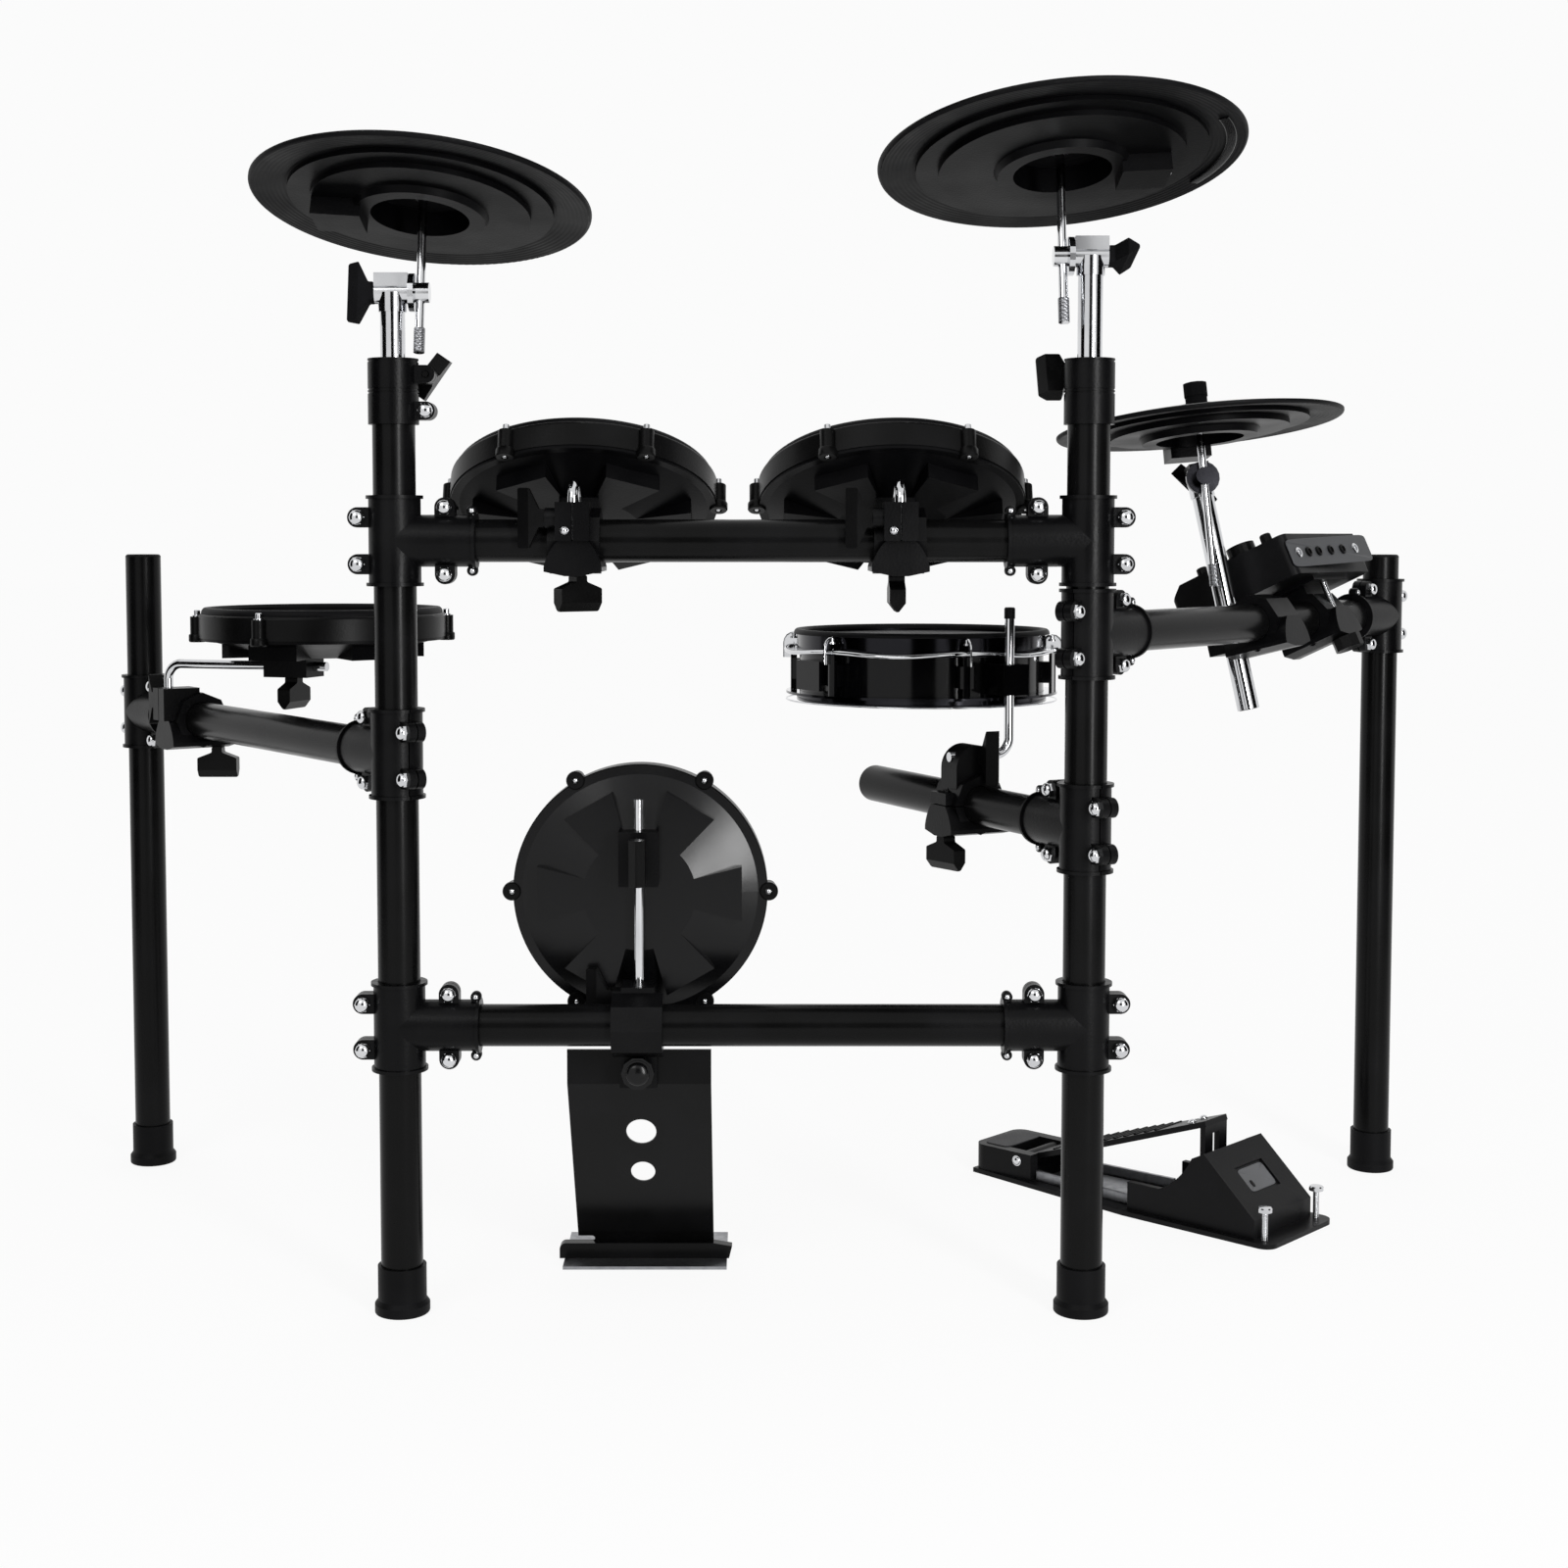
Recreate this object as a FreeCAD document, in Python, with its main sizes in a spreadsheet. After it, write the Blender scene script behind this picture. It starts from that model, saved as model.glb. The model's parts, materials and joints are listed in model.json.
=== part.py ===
"""Electronic drum kit: pads, cymbals, sound module and pedal on a clamped tube rack.

Millimetres, +Z up.  X runs along the front of the rack and Y points to the drummer's side.
The origin is on the floor, under the middle of the whole kit.
"""
import FreeCAD, Part
import math
import os
import re

import Sketcher
from FreeCAD import Placement, Rotation, Vector

SIZES = {
    # Rack tubes and where they stand
    "tube_od": 38.0,
    "tube_wall": 1.6,
    "tube_fit": 0.3,
    "rack_span": 618.0,
    "upright_top": 834.0,
    "upper_bar_z": 701.0,
    "lower_bar_z": 264.0,
    "arm_reach": 610.0,
    "left_arm_z": 511.0,
    "left_arm_angle": 36.0,
    "right_arm_z": 618.0,
    "right_arm_angle": 40.0,
    "leg_top": 685.0,
    "snare_arm_z": 444.0,
    "snare_arm_angle": 25.0,
    "snare_arm_reach": 400.0,
    "tube_end_gap": 2.5,
    # Rubber feet and tube plugs
    "foot_height": 44.0,
    "foot_radius": 22.0,
    "foot_flare": 25.0,
    "foot_flare_height": 9.0,
    "foot_sole": 4.0,
    "foot_fit": 0.1,
    "plug_thick": 3.0,
    "plug_depth": 14.0,
    # Tee clamps and their bolts
    "clamp_wall": 3.9,
    "clamp_height": 80.6,
    "branch_reach": 73.5,
    "rim_lip": 2.2,
    "rim_width": 3.0,
    "split_gap": 1.2,
    "ear_radius": 9.0,
    "ear_depth": 8.0,
    "back_ear_reach": 32.0,
    "back_ear_rise": 20.8,
    "front_ear_reach": 45.5,
    "front_ear_rise": 29.6,
    "bolt_radius": 3.0,
    "bolt_play": 0.3,
    "bolt_head_radius": 7.0,
    "bolt_head_height": 4.0,
    "bolt_tail": 2.0,
    # Wing bolts and hand knobs
    "wing_span": 42.0,
    "wing_height": 33.0,
    "wing_flare": 12.0,
    "wing_stem": 6.0,
    "wing_neck": 11.0,
    "wing_thick": 14.5,
    "wing_taper": 8.0,
    "wing_edge": 2.0,
    "wing_round": 2.0,
    "nut_span": 53.0,
    "nut_height": 24.0,
    "nut_flare": 14.0,
    "nut_stem": 5.0,
    "nut_neck": 16.0,
    "nut_thick": 15.0,
    "nut_taper": 10.0,
    "knob_radius": 15.0,
    "knob_height": 13.0,
    # Pole collars on top of the front uprights
    "collar_radius": 22.5,
    "collar_height": 58.0,
    "collar_seat": 30.0,
    "collar_ear_reach": 30.0,
    "collar_ear_radius": 8.0,
    "collar_ear_depth": 10.0,
    "collar_wing_angle": 55.0,
    "collar_low_ear": 12.0,
    "collar_high_ear": 44.0,
    "collar_slot": 2.0,
    "collar_groove": 1.6,
    "collar_groove_depth": 0.8,
    # Clamps that carry the bent rods
    "bar_clamp_radius": 27.0,
    "bar_clamp_width": 46.0,
    "jaw_top": 26.0,
    "jaw_width": 51.0,
    "jaw_front": 34.0,
    "jaw_back": 35.0,
    "jaw_drop": 27.0,
    "jaw_lip": 4.0,
    "jaw_neck": 14.0,
    "jaw_curve": 45.0,
    "rod_block_width": 30.0,
    "rod_block_wall": 7.0,
    "rod_block_up": 34.0,
    "rod_slot": 1.5,
    "rod_boss_radius": 9.0,
    "rod_boss_z": 20.0,
    "wing_seat": 31.0,
    "wing_offset": 26.0,
    "wing_lug": 12.0,
    "rod_radius": 4.75,
    "rod_fit": 0.3,
    "rod_offset": 28.0,
    "rod_foot": 1.0,
    "rod_bend": 16.0,
    "rod_stub": 14.0,
    # Drum pads
    "pad_radius": 125.0,
    "kick_radius": 118.0,
    "hoop_height": 27.0,
    "hoop_wall": 5.0,
    "hoop_lip": 14.0,
    "hoop_lip_thick": 3.0,
    "lug_count": 6,
    "lug_radius": 7.0,
    "lug_stand": 1.0,
    "dish_depth": 31.0,
    "dish_wall": 3.0,
    "dish_floor_radius": 52.0,
    "dish_flange": 3.0,
    "rib_angle": 30.0,
    "rib_margin": 12.0,
    "membrane": 2.0,
    "collar_depth": 6.0,
    "rim_rubber": 6.0,
    "pad_gap": 0.3,
    "trigger_radius": 22.0,
    "trigger_tip": 9.0,
    "trigger_seat": 6.0,
    "holder_shift": 35.0,
    "holder_length": 50.0,
    "holder_width": 36.0,
    "holder_wall": 11.0,
    "rod_drop": 42.0,
    "left_tom_x": -148.0,
    "right_tom_x": 140.0,
    "tom_y": 110.0,
    "tom_z": 743.0,
    "tom_tilt": 25.0,
    "floor_clamp_back": 141.0,
    "floor_tom_z": 613.0,
    "floor_rod_reach": 185.0,
    "floor_rod_angle": 108.6,
    # Kick pad and its tower
    "kick_x": -94.0,
    "kick_z": 377.0,
    "kick_rod_top": 466.0,
    "kick_block_down": 26.0,
    "tower_width": 132.0,
    "tower_sheet": 3.0,
    "tower_back": 24.0,
    "tower_tab_top": 236.0,
    "tower_bend_z": 204.0,
    "tower_foot_y": 150.0,
    "tower_foot_z": 18.0,
    "tower_foot_width": 168.0,
    "tower_foot_depth": 12.0,
    "tower_foot_corner": 6.0,
    "tower_notch": 6.0,
    "tower_notch_length": 13.0,
    "tower_plate_width": 158.0,
    "tower_plate_front": 34.0,
    "tower_plate_back": 74.0,
    "tongue_width": 34.0,
    "tongue_depth": 15.0,
    "tongue_root": 2.0,
    "tower_knob_z": 220.0,
    "tower_hole_high": 14.0,
    "tower_hole_low": 11.5,
    "tower_hole_high_z": 150.0,
    "tower_hole_low_z": 103.0,
    # Snare
    "snare_clamp_along": 205.0,
    "snare_rod_z": 490.0,
    "snare_rod_side": 45.0,
    "snare_rod_top": 632.0,
    "snare_reach": 154.0,
    "snare_angle": 30.0,
    "snare_bottom_z": 535.0,
    "snare_radius": 127.0,
    "snare_wall": 6.0,
    "snare_height": 74.0,
    "snare_hoop_radius": 141.0,
    "snare_hoop_wall": 2.5,
    "snare_top_hoop": 18.0,
    "snare_low_hoop": 10.0,
    "snare_lug_width": 14.0,
    "snare_lug_height": 22.0,
    "snare_jack_width": 44.0,
    "jack_depth": 15.0,
    "snare_seat": 4.0,
    "snare_rim": 5.0,
    "snare_play": 0.4,
    "tension_radius": 3.5,
    "bracket_height": 30.0,
    "bracket_base": 14.0,
    "bridge_width": 26.0,
    "bridge_thick": 4.0,
    "bridge_base": 20.0,
    # Cymbal stands
    "pole_radius": 11.0,
    "pole_wall": 1.5,
    "pole_fit": 0.3,
    "pole_length": 300.0,
    "hihat_pole_length": 222.0,
    "crash_pole_top": 903.0,
    "ride_pole_top": 935.0,
    "tilter_rise": 17.0,
    "tilter_neck_radius": 12.5,
    "tilter_barrel_radius": 10.0,
    "tilter_barrel_half": 15.0,
    "cap_half_depth": 10.0,
    "cap_height": 7.0,
    "tilter_disc_radius": 17.0,
    "tilter_disc_thick": 5.0,
    "tilter_gap": 0.4,
    "eye_bolt_radius": 4.0,
    "eye_radius": 9.0,
    "eye_wall": 4.0,
    "rod_side": 25.0,
    "cymbal_rod_radius": 4.0,
    "knurl_length": 22.0,
    "knurl_radius": 5.0,
    "crash_rod_below": 55.0,
    "ride_rod_below": 61.0,
    "hihat_rod_below": 112.0,
    "crash_lift": 104.0,
    "ride_lift": 112.0,
    "hihat_lift": 72.0,
    "crash_tilt": 13.5,
    "ride_tilt": 13.5,
    "hihat_rod_turn": 6.4,
    "crash_roll": 3.7,
    "ride_roll": 3.2,
    "hihat_nod": 3.0,
    "hihat_clamp_back": 275.0,
    "hihat_lean": 14.3,
    "hihat_pole_drop": 82.0,
    "pole_offset": 36.0,
    # Cymbal pads
    "crash_radius": 152.0,
    "ride_radius": 164.0,
    "hihat_radius": 144.0,
    "bell_radius": 42.0,
    "bell_flat": 17.0,
    "bell_height": 9.0,
    "cymbal_bow": 11.0,
    "cymbal_skin": 4.0,
    "cymbal_hole": 4.6,
    "rim_round": 3.0,
    "shell_margin": 34.0,
    "shell_step_margin": 54.0,
    "shell_inner": 44.0,
    "shell_thick": 4.0,
    "shell_step": 5.0,
    "shell_gap": 0.3,
    "boss_radius": 58.0,
    "boss_drop": 6.0,
    "jack_box_start": 50.0,
    "jack_box_length": 44.0,
    "jack_box_width": 42.0,
    "jack_box_drop": 16.0,
    "felt_radius": 11.0,
    "felt_thick": 7.0,
    "felt_gap": 1.4,
    "cup_height": 5.0,
    "cymbal_nut_radius": 12.0,
    "cymbal_nut_height": 14.0,
    # Sound module
    "module_back": 163.0,
    "module_tilt": 25.0,
    "module_shift": 29.0,
    "module_lift": 35.0,
    "module_width": 170.0,
    "module_depth": 144.0,
    "module_height": 44.0,
    "module_nose": 30.0,
    "module_nose_depth": 16.0,
    "module_corner": 8.0,
    "bracket_length": 74.0,
    "bracket_depth": 33.0,
    "bracket_thick": 4.0,
    "dial_radius": 15.0,
    "dial_height": 13.0,
    "dial_skirt": 3.0,
    "dial_x": -60.0,
    "dial_y": -12.0,
    "keypad_length": 78.0,
    "keypad_depth": 34.0,
    "keypad_x": 28.0,
    "keypad_y": 16.0,
    "keypad_sheet": 2.0,
    "keypad_recess": 4.0,
    "keypad_play": 0.5,
    "key_size": 12.0,
    "key_height": 5.0,
    "key_columns": 4,
    # Hi-hat pedal
    "pedal_toe_x": 565.0,
    "pedal_toe_y": 218.0,
    "pedal_angle": 43.1,
    "pedal_length": 385.0,
    "pedal_toe_width": 130.0,
    "pedal_heel_width": 84.0,
    "pedal_plate": 5.0,
    "toe_corner": 14.0,
    "housing_width": 112.0,
    "housing_wall": 7.0,
    "housing_start": 212.0,
    "housing_peak": 296.0,
    "housing_front": 362.0,
    "housing_height": 80.0,
    "housing_side": 34.0,
    "housing_toe": 24.0,
    "window_width": 52.0,
    "window_length": 32.0,
    "window_depth": 2.0,
    "heel_length": 78.0,
    "heel_height": 28.0,
    "heel_corner": 14.0,
    "heel_slot": 58.0,
    "heel_slot_start": 40.0,
    "pedal_pin_radius": 3.5,
    "pedal_pin_fit": 0.05,
    "pedal_pin_y": 60.0,
    "pedal_pin_z": 24.0,
    "footboard_rest": 19.0,
    "footboard_length": 236.0,
    "footboard_width": 74.0,
    "footboard_heel_width": 54.0,
    "footboard_thick": 6.0,
    "strap_width": 42.0,
    "strap_thick": 6.0,
    "strap_length": 58.0,
    "strap_slot": 12.0,
    "level_screw_radius": 3.0,
    "level_screw_height": 30.0,
}

X_AXIS = Vector(1, 0, 0)
Y_AXIS = Vector(0, 1, 0)
Z_AXIS = Vector(0, 0, 1)
ORIGIN = ("0", "0", "0")
ALONG = {"X": Rotation(Y_AXIS, 90), "Y": Rotation(X_AXIS, -90), "Z": Rotation()}
ALIAS = re.compile(r"[a-z][a-z_]*")
# Where the wings of the left tom, right tom and snare clamps stopped when they were tightened
WING_TURNS = (35, 90, 10)
# The same for the wing nuts of the cymbal tilters
NUT_TURNS = {"crash": 0, "ride": 90, "hihat": 40}

doc = FreeCAD.newDocument("drum_kit")
sheet = doc.addObject("Spreadsheet::Sheet", "sizes")
nodes = []


# Sizes and expressions
def fill_sheet():
    """Write every driving size into the spreadsheet under its own alias."""
    for row, (name, number) in enumerate(SIZES.items(), start=1):
        sheet.set(f"A{row}", name)
        sheet.set(f"B{row}", str(number))
        sheet.setAlias(f"B{row}", name)
    doc.recompute()


def formula(text):
    """Turn words such as tube_od / 2 into an expression that reads the spreadsheet."""
    return ALIAS.sub(lambda word: f"sizes.{word[0]}" if word[0] in SIZES else word[0], str(text))


def size(text):
    """Number that an expression gives with the present sizes."""
    return float(sheet.evalExpression(formula(text)))


def bind(thing, prop, text):
    thing.setExpression(prop, formula(text))


# Primitives and booleans
def primitive(kind, sizes, at, turn):
    piece = doc.addObject(kind, "piece")
    for prop, text in sizes.items():
        bind(piece, prop, text)
    piece.Placement = Placement(Vector(), turn)
    for letter, text in zip("xyz", at):
        bind(piece, f"Placement.Base.{letter}", text)
    return piece


def rod(radius, length, at=ORIGIN, along="Z"):
    return primitive("Part::Cylinder", {"Radius": radius, "Height": length}, at, ALONG[along])


def block(wide, deep, tall, at=ORIGIN):
    return primitive("Part::Box", {"Length": wide, "Width": deep, "Height": tall}, at, Rotation())


def prism(sides, radius, length, at=ORIGIN, along="Z"):
    piece = primitive("Part::Prism", {"Circumradius": radius, "Height": length}, at, ALONG[along])
    piece.Polygon = sides
    return piece


def fuse(*pieces):
    whole = doc.addObject("Part::MultiFuse", "fused")
    whole.Shapes = list(pieces)
    whole.Refine = True
    return whole


def cut(base, *tools):
    rest = doc.addObject("Part::Cut", "cut")
    rest.Base = base
    rest.Tool = tools[0] if len(tools) == 1 else fuse(*tools)
    return rest


def common(*pieces):
    shared_part = doc.addObject("Part::MultiCommon", "common")
    shared_part.Shapes = list(pieces)
    return shared_part


# Sketches and PartDesign features
def new_body(name):
    return doc.addObject("PartDesign::Body", f"{name}_body")


def origin_part(body, role):
    return next(part for part in body.Origin.OriginFeatures if part.Role == role)


def sketch_on(body, role, lift="0"):
    sketch = body.newObject("Sketcher::SketchObject", "sketch")
    sketch.AttachmentSupport = (origin_part(body, role), [""])
    sketch.MapMode = "FlatFace"
    bind(sketch, "AttachmentOffset.Base.z", lift)
    return sketch


def fix(sketch, constraint, text):
    number = sketch.addConstraint(constraint)
    bind(sketch, f"Constraints[{number}]", text)


def arc_between(start, end, radius, turn):
    """Arc from start to end; turn is 1 where it bends to the left and -1 to the right."""
    chord = end - start
    left = Vector(-chord.y, chord.x, 0).normalize() * turn
    centre = (start + end) * 0.5 + left * math.sqrt(radius**2 - (chord.Length / 2) ** 2)
    first, last = (start, end) if turn > 0 else (end, start)
    angles = [math.atan2(point.y - centre.y, point.x - centre.x) for point in (first, last)]
    return Part.ArcOfCircle(Part.Circle(centre, Z_AXIS, radius), *angles)


def draw(sketch, points, closed=True):
    """Outline through points (x, y); (x, y, radius, turn) arrives at its point along an arc."""
    spots = [Vector(size(point[0]), size(point[1]), 0) for point in points]
    count = len(points) if closed else len(points) - 1
    ends = []
    for index in range(count):
        after = (index + 1) % len(points)
        start, end = spots[index], spots[after]
        if len(points[after]) == 2:
            edge = sketch.addGeometry(Part.LineSegment(start, end))
            ends.append((edge, 1, 2))
        else:
            radius, turn = points[after][2:]
            edge = sketch.addGeometry(arc_between(start, end, size(radius), turn))
            fix(sketch, Sketcher.Constraint("Radius", edge, size(radius)), radius)
            ends.append((edge, 1, 2) if turn > 0 else (edge, 2, 1))
    for index, (edge, first, last) in enumerate(ends):
        if closed or index + 1 < count:
            follower, joint, _ = ends[(index + 1) % count]
            sketch.addConstraint(Sketcher.Constraint("Coincident", edge, last, follower, joint))
        pin(sketch, edge, first, points[index], spots[index])
    if not closed:
        pin(sketch, ends[-1][0], ends[-1][2], points[-1], spots[-1])
    return sketch


def pin(sketch, edge, end, point, spot):
    """Hold one end of an edge at its named distances from the origin."""
    fix(sketch, Sketcher.Constraint("DistanceX", -1, 1, edge, end, spot.x), point[0])
    fix(sketch, Sketcher.Constraint("DistanceY", -1, 1, edge, end, spot.y), point[1])


def draw_circles(sketch, *circles):
    for across, up, radius in circles:
        spot = Vector(size(across), size(up), 0)
        edge = sketch.addGeometry(Part.Circle(spot, Z_AXIS, size(radius)))
        fix(sketch, Sketcher.Constraint("Radius", edge, size(radius)), radius)
        pin(sketch, edge, 3, (across, up), spot)
    return sketch


def feature(body, kind, sketch):
    made = body.newObject(f"PartDesign::{kind}", kind.lower())
    made.Profile = sketch
    return made


def pad(body, sketch, length, both_ways=False, back=False):
    made = feature(body, "Pad", sketch)
    bind(made, "Length", length)
    made.Midplane = both_ways
    made.Reversed = back
    return made


def pocket(body, sketch, length, both_ways=False, back=False):
    made = feature(body, "Pocket", sketch)
    bind(made, "Length", length)
    made.Midplane = both_ways
    made.Reversed = back
    return made


def turned(body, points, kind="Revolution"):
    """Revolve an outline of (radius, height) points about the body's Z axis."""
    sketch = draw(sketch_on(body, "XZ_Plane"), points)
    made = feature(body, kind, sketch)
    made.ReferenceAxis = (sketch, ["V_Axis"])
    return made


def ring_of(body, original, count):
    pattern = body.newObject("PartDesign::PolarPattern", "ring")
    pattern.Originals = [original]
    pattern.Axis = (origin_part(body, "Z_Axis"), [""])
    bind(pattern, "Occurrences", count)
    body.Tip = pattern
    return pattern


def round_edges(body, base, direction, radius):
    """Fillet every straight edge of the base feature that runs along one direction."""
    doc.recompute()
    names = []
    for number, edge in enumerate(base.Shape.Edges, start=1):
        way = edge.tangentAt(edge.FirstParameter)
        if edge.Curve.TypeId == "Part::GeomLine" and abs(way.dot(direction)) > 0.999:
            names.append(f"Edge{number}")
    made = body.newObject("PartDesign::Fillet", "rounding")
    made.Base = (base, names)
    bind(made, "Radius", radius)
    return made


# Named sub-parts
def node(label, pieces, place=Placement()):
    """One named sub-part: copies of master shapes, each at its own spot in the part's frame."""
    copies = []
    for source, spot in pieces:
        copy = doc.addObject("App::Link", "copy")
        copy.LinkedObject = source
        copy.LinkTransform = True
        copy.Placement = spot
        copies.append(copy)
    whole = doc.addObject("Part::Compound", label)
    whole.Label = label
    whole.Links = copies
    whole.Placement = place
    nodes.append(whole)


def at(x=0.0, y=0.0, z=0.0, turn=Rotation()):
    return Placement(Vector(x, y, z), turn)


def spin(degrees):
    return Rotation(Z_AXIS, degrees)


HERE = at()


# Rack
def tube_shape(name, length, outside="tube_od / 2", wall="tube_wall"):
    body = new_body(name)
    sketch = draw_circles(sketch_on(body, "XY_Plane"), ("0", "0", outside), ("0", "0", f"{outside} - {wall}"))
    pad(body, sketch, length)
    return body


def foot_shape():
    body = new_body("foot")
    bore = "tube_od / 2 + foot_fit"
    turned(body, [
        ("0", "0"),
        ("foot_flare - foot_sole / 2", "0"),
        ("foot_flare", "foot_sole / 2", "foot_sole / 2", 1),
        ("foot_flare", "foot_flare_height"),
        ("foot_radius", "foot_flare_height + foot_sole"),
        ("foot_radius", "foot_height"),
        (bore, "foot_height"),
        (bore, "foot_sole"),
        ("0", "foot_sole"),
    ])
    return body


def plug_shape():
    """Cap with a spigot that closes an open tube end; its seat is at z = 0."""
    body = new_body("plug")
    spigot = "tube_od / 2 - tube_wall - foot_fit"
    turned(body, [
        ("0", "-plug_depth"),
        (spigot, "-plug_depth"),
        (spigot, "0"),
        ("tube_od / 2", "0"),
        ("tube_od / 2 - plug_thick", "plug_thick", "plug_thick", 1),
        ("0", "plug_thick"),
    ])
    return body


def tee_shape():
    """Two half shells that clamp a through tube on Z and a branch tube on +X."""
    bore = "tube_od / 2 + tube_fit"
    outside = f"({bore} + clamp_wall)"
    rim = f"({outside} + rim_lip)"
    solids = [
        rod(outside, "clamp_height", ("0", "0", "-clamp_height / 2")),
        rod(outside, "branch_reach", ORIGIN, "X"),
        rod(rim, "rim_width", ("0", "0", "clamp_height / 2 - rim_width")),
        rod(rim, "rim_width", ("0", "0", "-clamp_height / 2")),
        rod(rim, "rim_width", ("branch_reach - rim_width", "0", "0"), "X"),
    ]
    holes = [
        rod(bore, "clamp_height", ("0", "0", "-clamp_height / 2")),
        rod(bore, "branch_reach", ORIGIN, "X"),
        block("4 * branch_reach", "split_gap", "2 * clamp_height",
              ("-2 * branch_reach", "-split_gap / 2", "-clamp_height")),
    ]
    for side in ("-1", "1"):
        back = ("-back_ear_reach", "-ear_depth", f"{side} * back_ear_rise")
        front = ("front_ear_reach", "-ear_depth", f"{side} * front_ear_rise")
        solids.append(rod("ear_radius", "2 * ear_depth", back, "Y"))
        solids.append(rod("ear_radius", "2 * ear_depth", front, "Y"))
        solids.append(block("back_ear_reach", "2 * ear_depth", "2 * ear_radius",
                            ("-back_ear_reach", "-ear_depth", f"{side} * back_ear_rise - ear_radius")))
        solids.append(block("2 * ear_radius", "2 * ear_depth", "front_ear_rise",
                            ("front_ear_reach - ear_radius", "-ear_depth",
                             f"({side} - 1) / 2 * front_ear_rise")))
        for spot in (back, front):
            holes.append(rod("bolt_radius + bolt_play", "2 * ear_depth", spot, "Y"))
    return cut(fuse(*solids), *holes)


def bolt_shape():
    """Hex bolt on Z with its head's seat at z = 0 and its shank downwards."""
    return fuse(
        prism(6, "bolt_head_radius", "bolt_head_height"),
        prism(6, "bolt_radius", "2 * ear_depth + bolt_tail", ("0", "0", "-2 * ear_depth - bolt_tail")),
    )


def tee_bolts(tee_place):
    """Four bolt places on a tee, with the heads on the side that faces the audience."""
    side = -1 if (tee_place.Rotation * Y_AXIS).y > 0 else 1
    head = Rotation(X_AXIS, -90 * side)
    spots = []
    for reach, rise in (("-back_ear_reach", "back_ear_rise"), ("front_ear_reach", "front_ear_rise")):
        for up in (-1, 1):
            seat = at(size(reach), side * size("ear_depth"), up * size(rise), head)
            spots.append(tee_place * seat)
    return spots


def wing_shape(name):
    """Grip that flares away from its seat at z = 0 and thins to an edge; its sizes start with the word."""
    side, neck, thick = f"{name}_span / 2", f"{name}_neck / 2", f"{name}_thick / 2"
    stem, flare, end = f"-{name}_stem", f"-{name}_flare", f"-{name}_height"
    front = new_body(name)
    outline = draw(sketch_on(front, "XZ_Plane"), [
        (f"-{neck}", "0"),
        (f"-{neck}", stem),
        (f"-{side}", flare),
        (f"-{side}", end),
        (side, end),
        (side, flare),
        (neck, stem),
        (neck, "0"),
    ])
    made = pad(front, outline, f"{name}_thick", both_ways=True)
    round_edges(front, made, Y_AXIS, "wing_round")
    edge = new_body(f"{name}_edge")
    profile = draw(sketch_on(edge, "YZ_Plane"), [
        (f"-{thick}", "0"),
        (f"-{thick}", f"{end} + {name}_taper"),
        ("-wing_edge / 2", end),
        ("wing_edge / 2", end),
        (thick, f"{end} + {name}_taper"),
        (thick, "0"),
    ])
    pad(edge, profile, f"{name}_span", both_ways=True)
    return common(front, edge)


def wing_bolt_shape(shank, name="wing"):
    """Wing bolt on Z: seat at z = 0, threaded shank upwards, grip hanging below."""
    return fuse(wing_shape(name), prism(6, "bolt_radius", shank))


def knob_shape(shank):
    """Ribbed hand knob on Z with its seat at z = 0 and its shank upwards."""
    return fuse(
        prism(10, "knob_radius", "knob_height", ("0", "0", "-knob_height")),
        prism(6, "bolt_radius", shank),
    )


def collar_shape():
    """Split collar: the upright fits in below, the cymbal pole above, ears on +X."""
    seat = "tube_od / 2 + foot_fit"
    solids = [rod("collar_radius", "collar_height")]
    holes = [
        rod(seat, "collar_seat"),
        rod("pole_radius + pole_fit", "collar_height"),
        block("2 * collar_ear_reach", "collar_slot", "collar_height", ("0", "-collar_slot / 2", "0")),
    ]
    for height in ("collar_low_ear", "collar_high_ear"):
        spot = ("collar_ear_reach", "-collar_ear_depth", height)
        solids.append(rod("collar_ear_radius", "2 * collar_ear_depth", spot, "Y"))
        solids.append(block("collar_ear_reach", "2 * collar_ear_depth", "2 * collar_ear_radius",
                            ("0", "-collar_ear_depth", f"{height} - collar_ear_radius")))
        holes.append(rod("bolt_radius + bolt_play", "2 * collar_ear_depth", spot, "Y"))
    for height in ("collar_seat / 2 + collar_low_ear", "collar_seat", "collar_height - 2 * collar_groove"):
        spot = ("0", "0", height)
        outside = rod("collar_radius + collar_groove_depth", "collar_groove", spot)
        holes.append(cut(outside, rod("collar_radius - collar_groove_depth", "collar_groove", spot)))
    return cut(fuse(*solids), *holes)


def jaw_shape(front="jaw_front", back="jaw_back"):
    """Shield-shaped lower jaw of a tube clamp on X, with the tightening bolt's seat at its foot."""
    top, side, neck = "jaw_top / 2", "jaw_width / 2", "jaw_neck / 2"
    body = new_body("jaw")
    shield = draw(sketch_on(body, "XZ_Plane", f"-{back}"), [
        (f"-{top}", "0"),
        (f"-{side}", "jaw_lip - jaw_drop", "jaw_curve", 1),
        (f"-{side}", "-jaw_drop"),
        (f"-{neck}", "-wing_seat"),
        (neck, "-wing_seat"),
        (side, "-jaw_drop"),
        (side, "jaw_lip - jaw_drop"),
        (top, "0", "jaw_curve", 1),
    ])
    pad(body, shield, f"{front} + {back}")
    return body


def clamp_ring():
    """Eight-sided body of a tube clamp on X."""
    end = ("-bar_clamp_width / 2", "0", "0")
    return prism(8, "bar_clamp_radius / cos(22.5)", "bar_clamp_width", end, "X")


def wing_lug():
    """Lug beside the tube that the wing bolt pulls the jaw against."""
    return block("rod_block_width", "jaw_back", "wing_lug", ("-rod_block_width / 2", "0", "0"))


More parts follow.
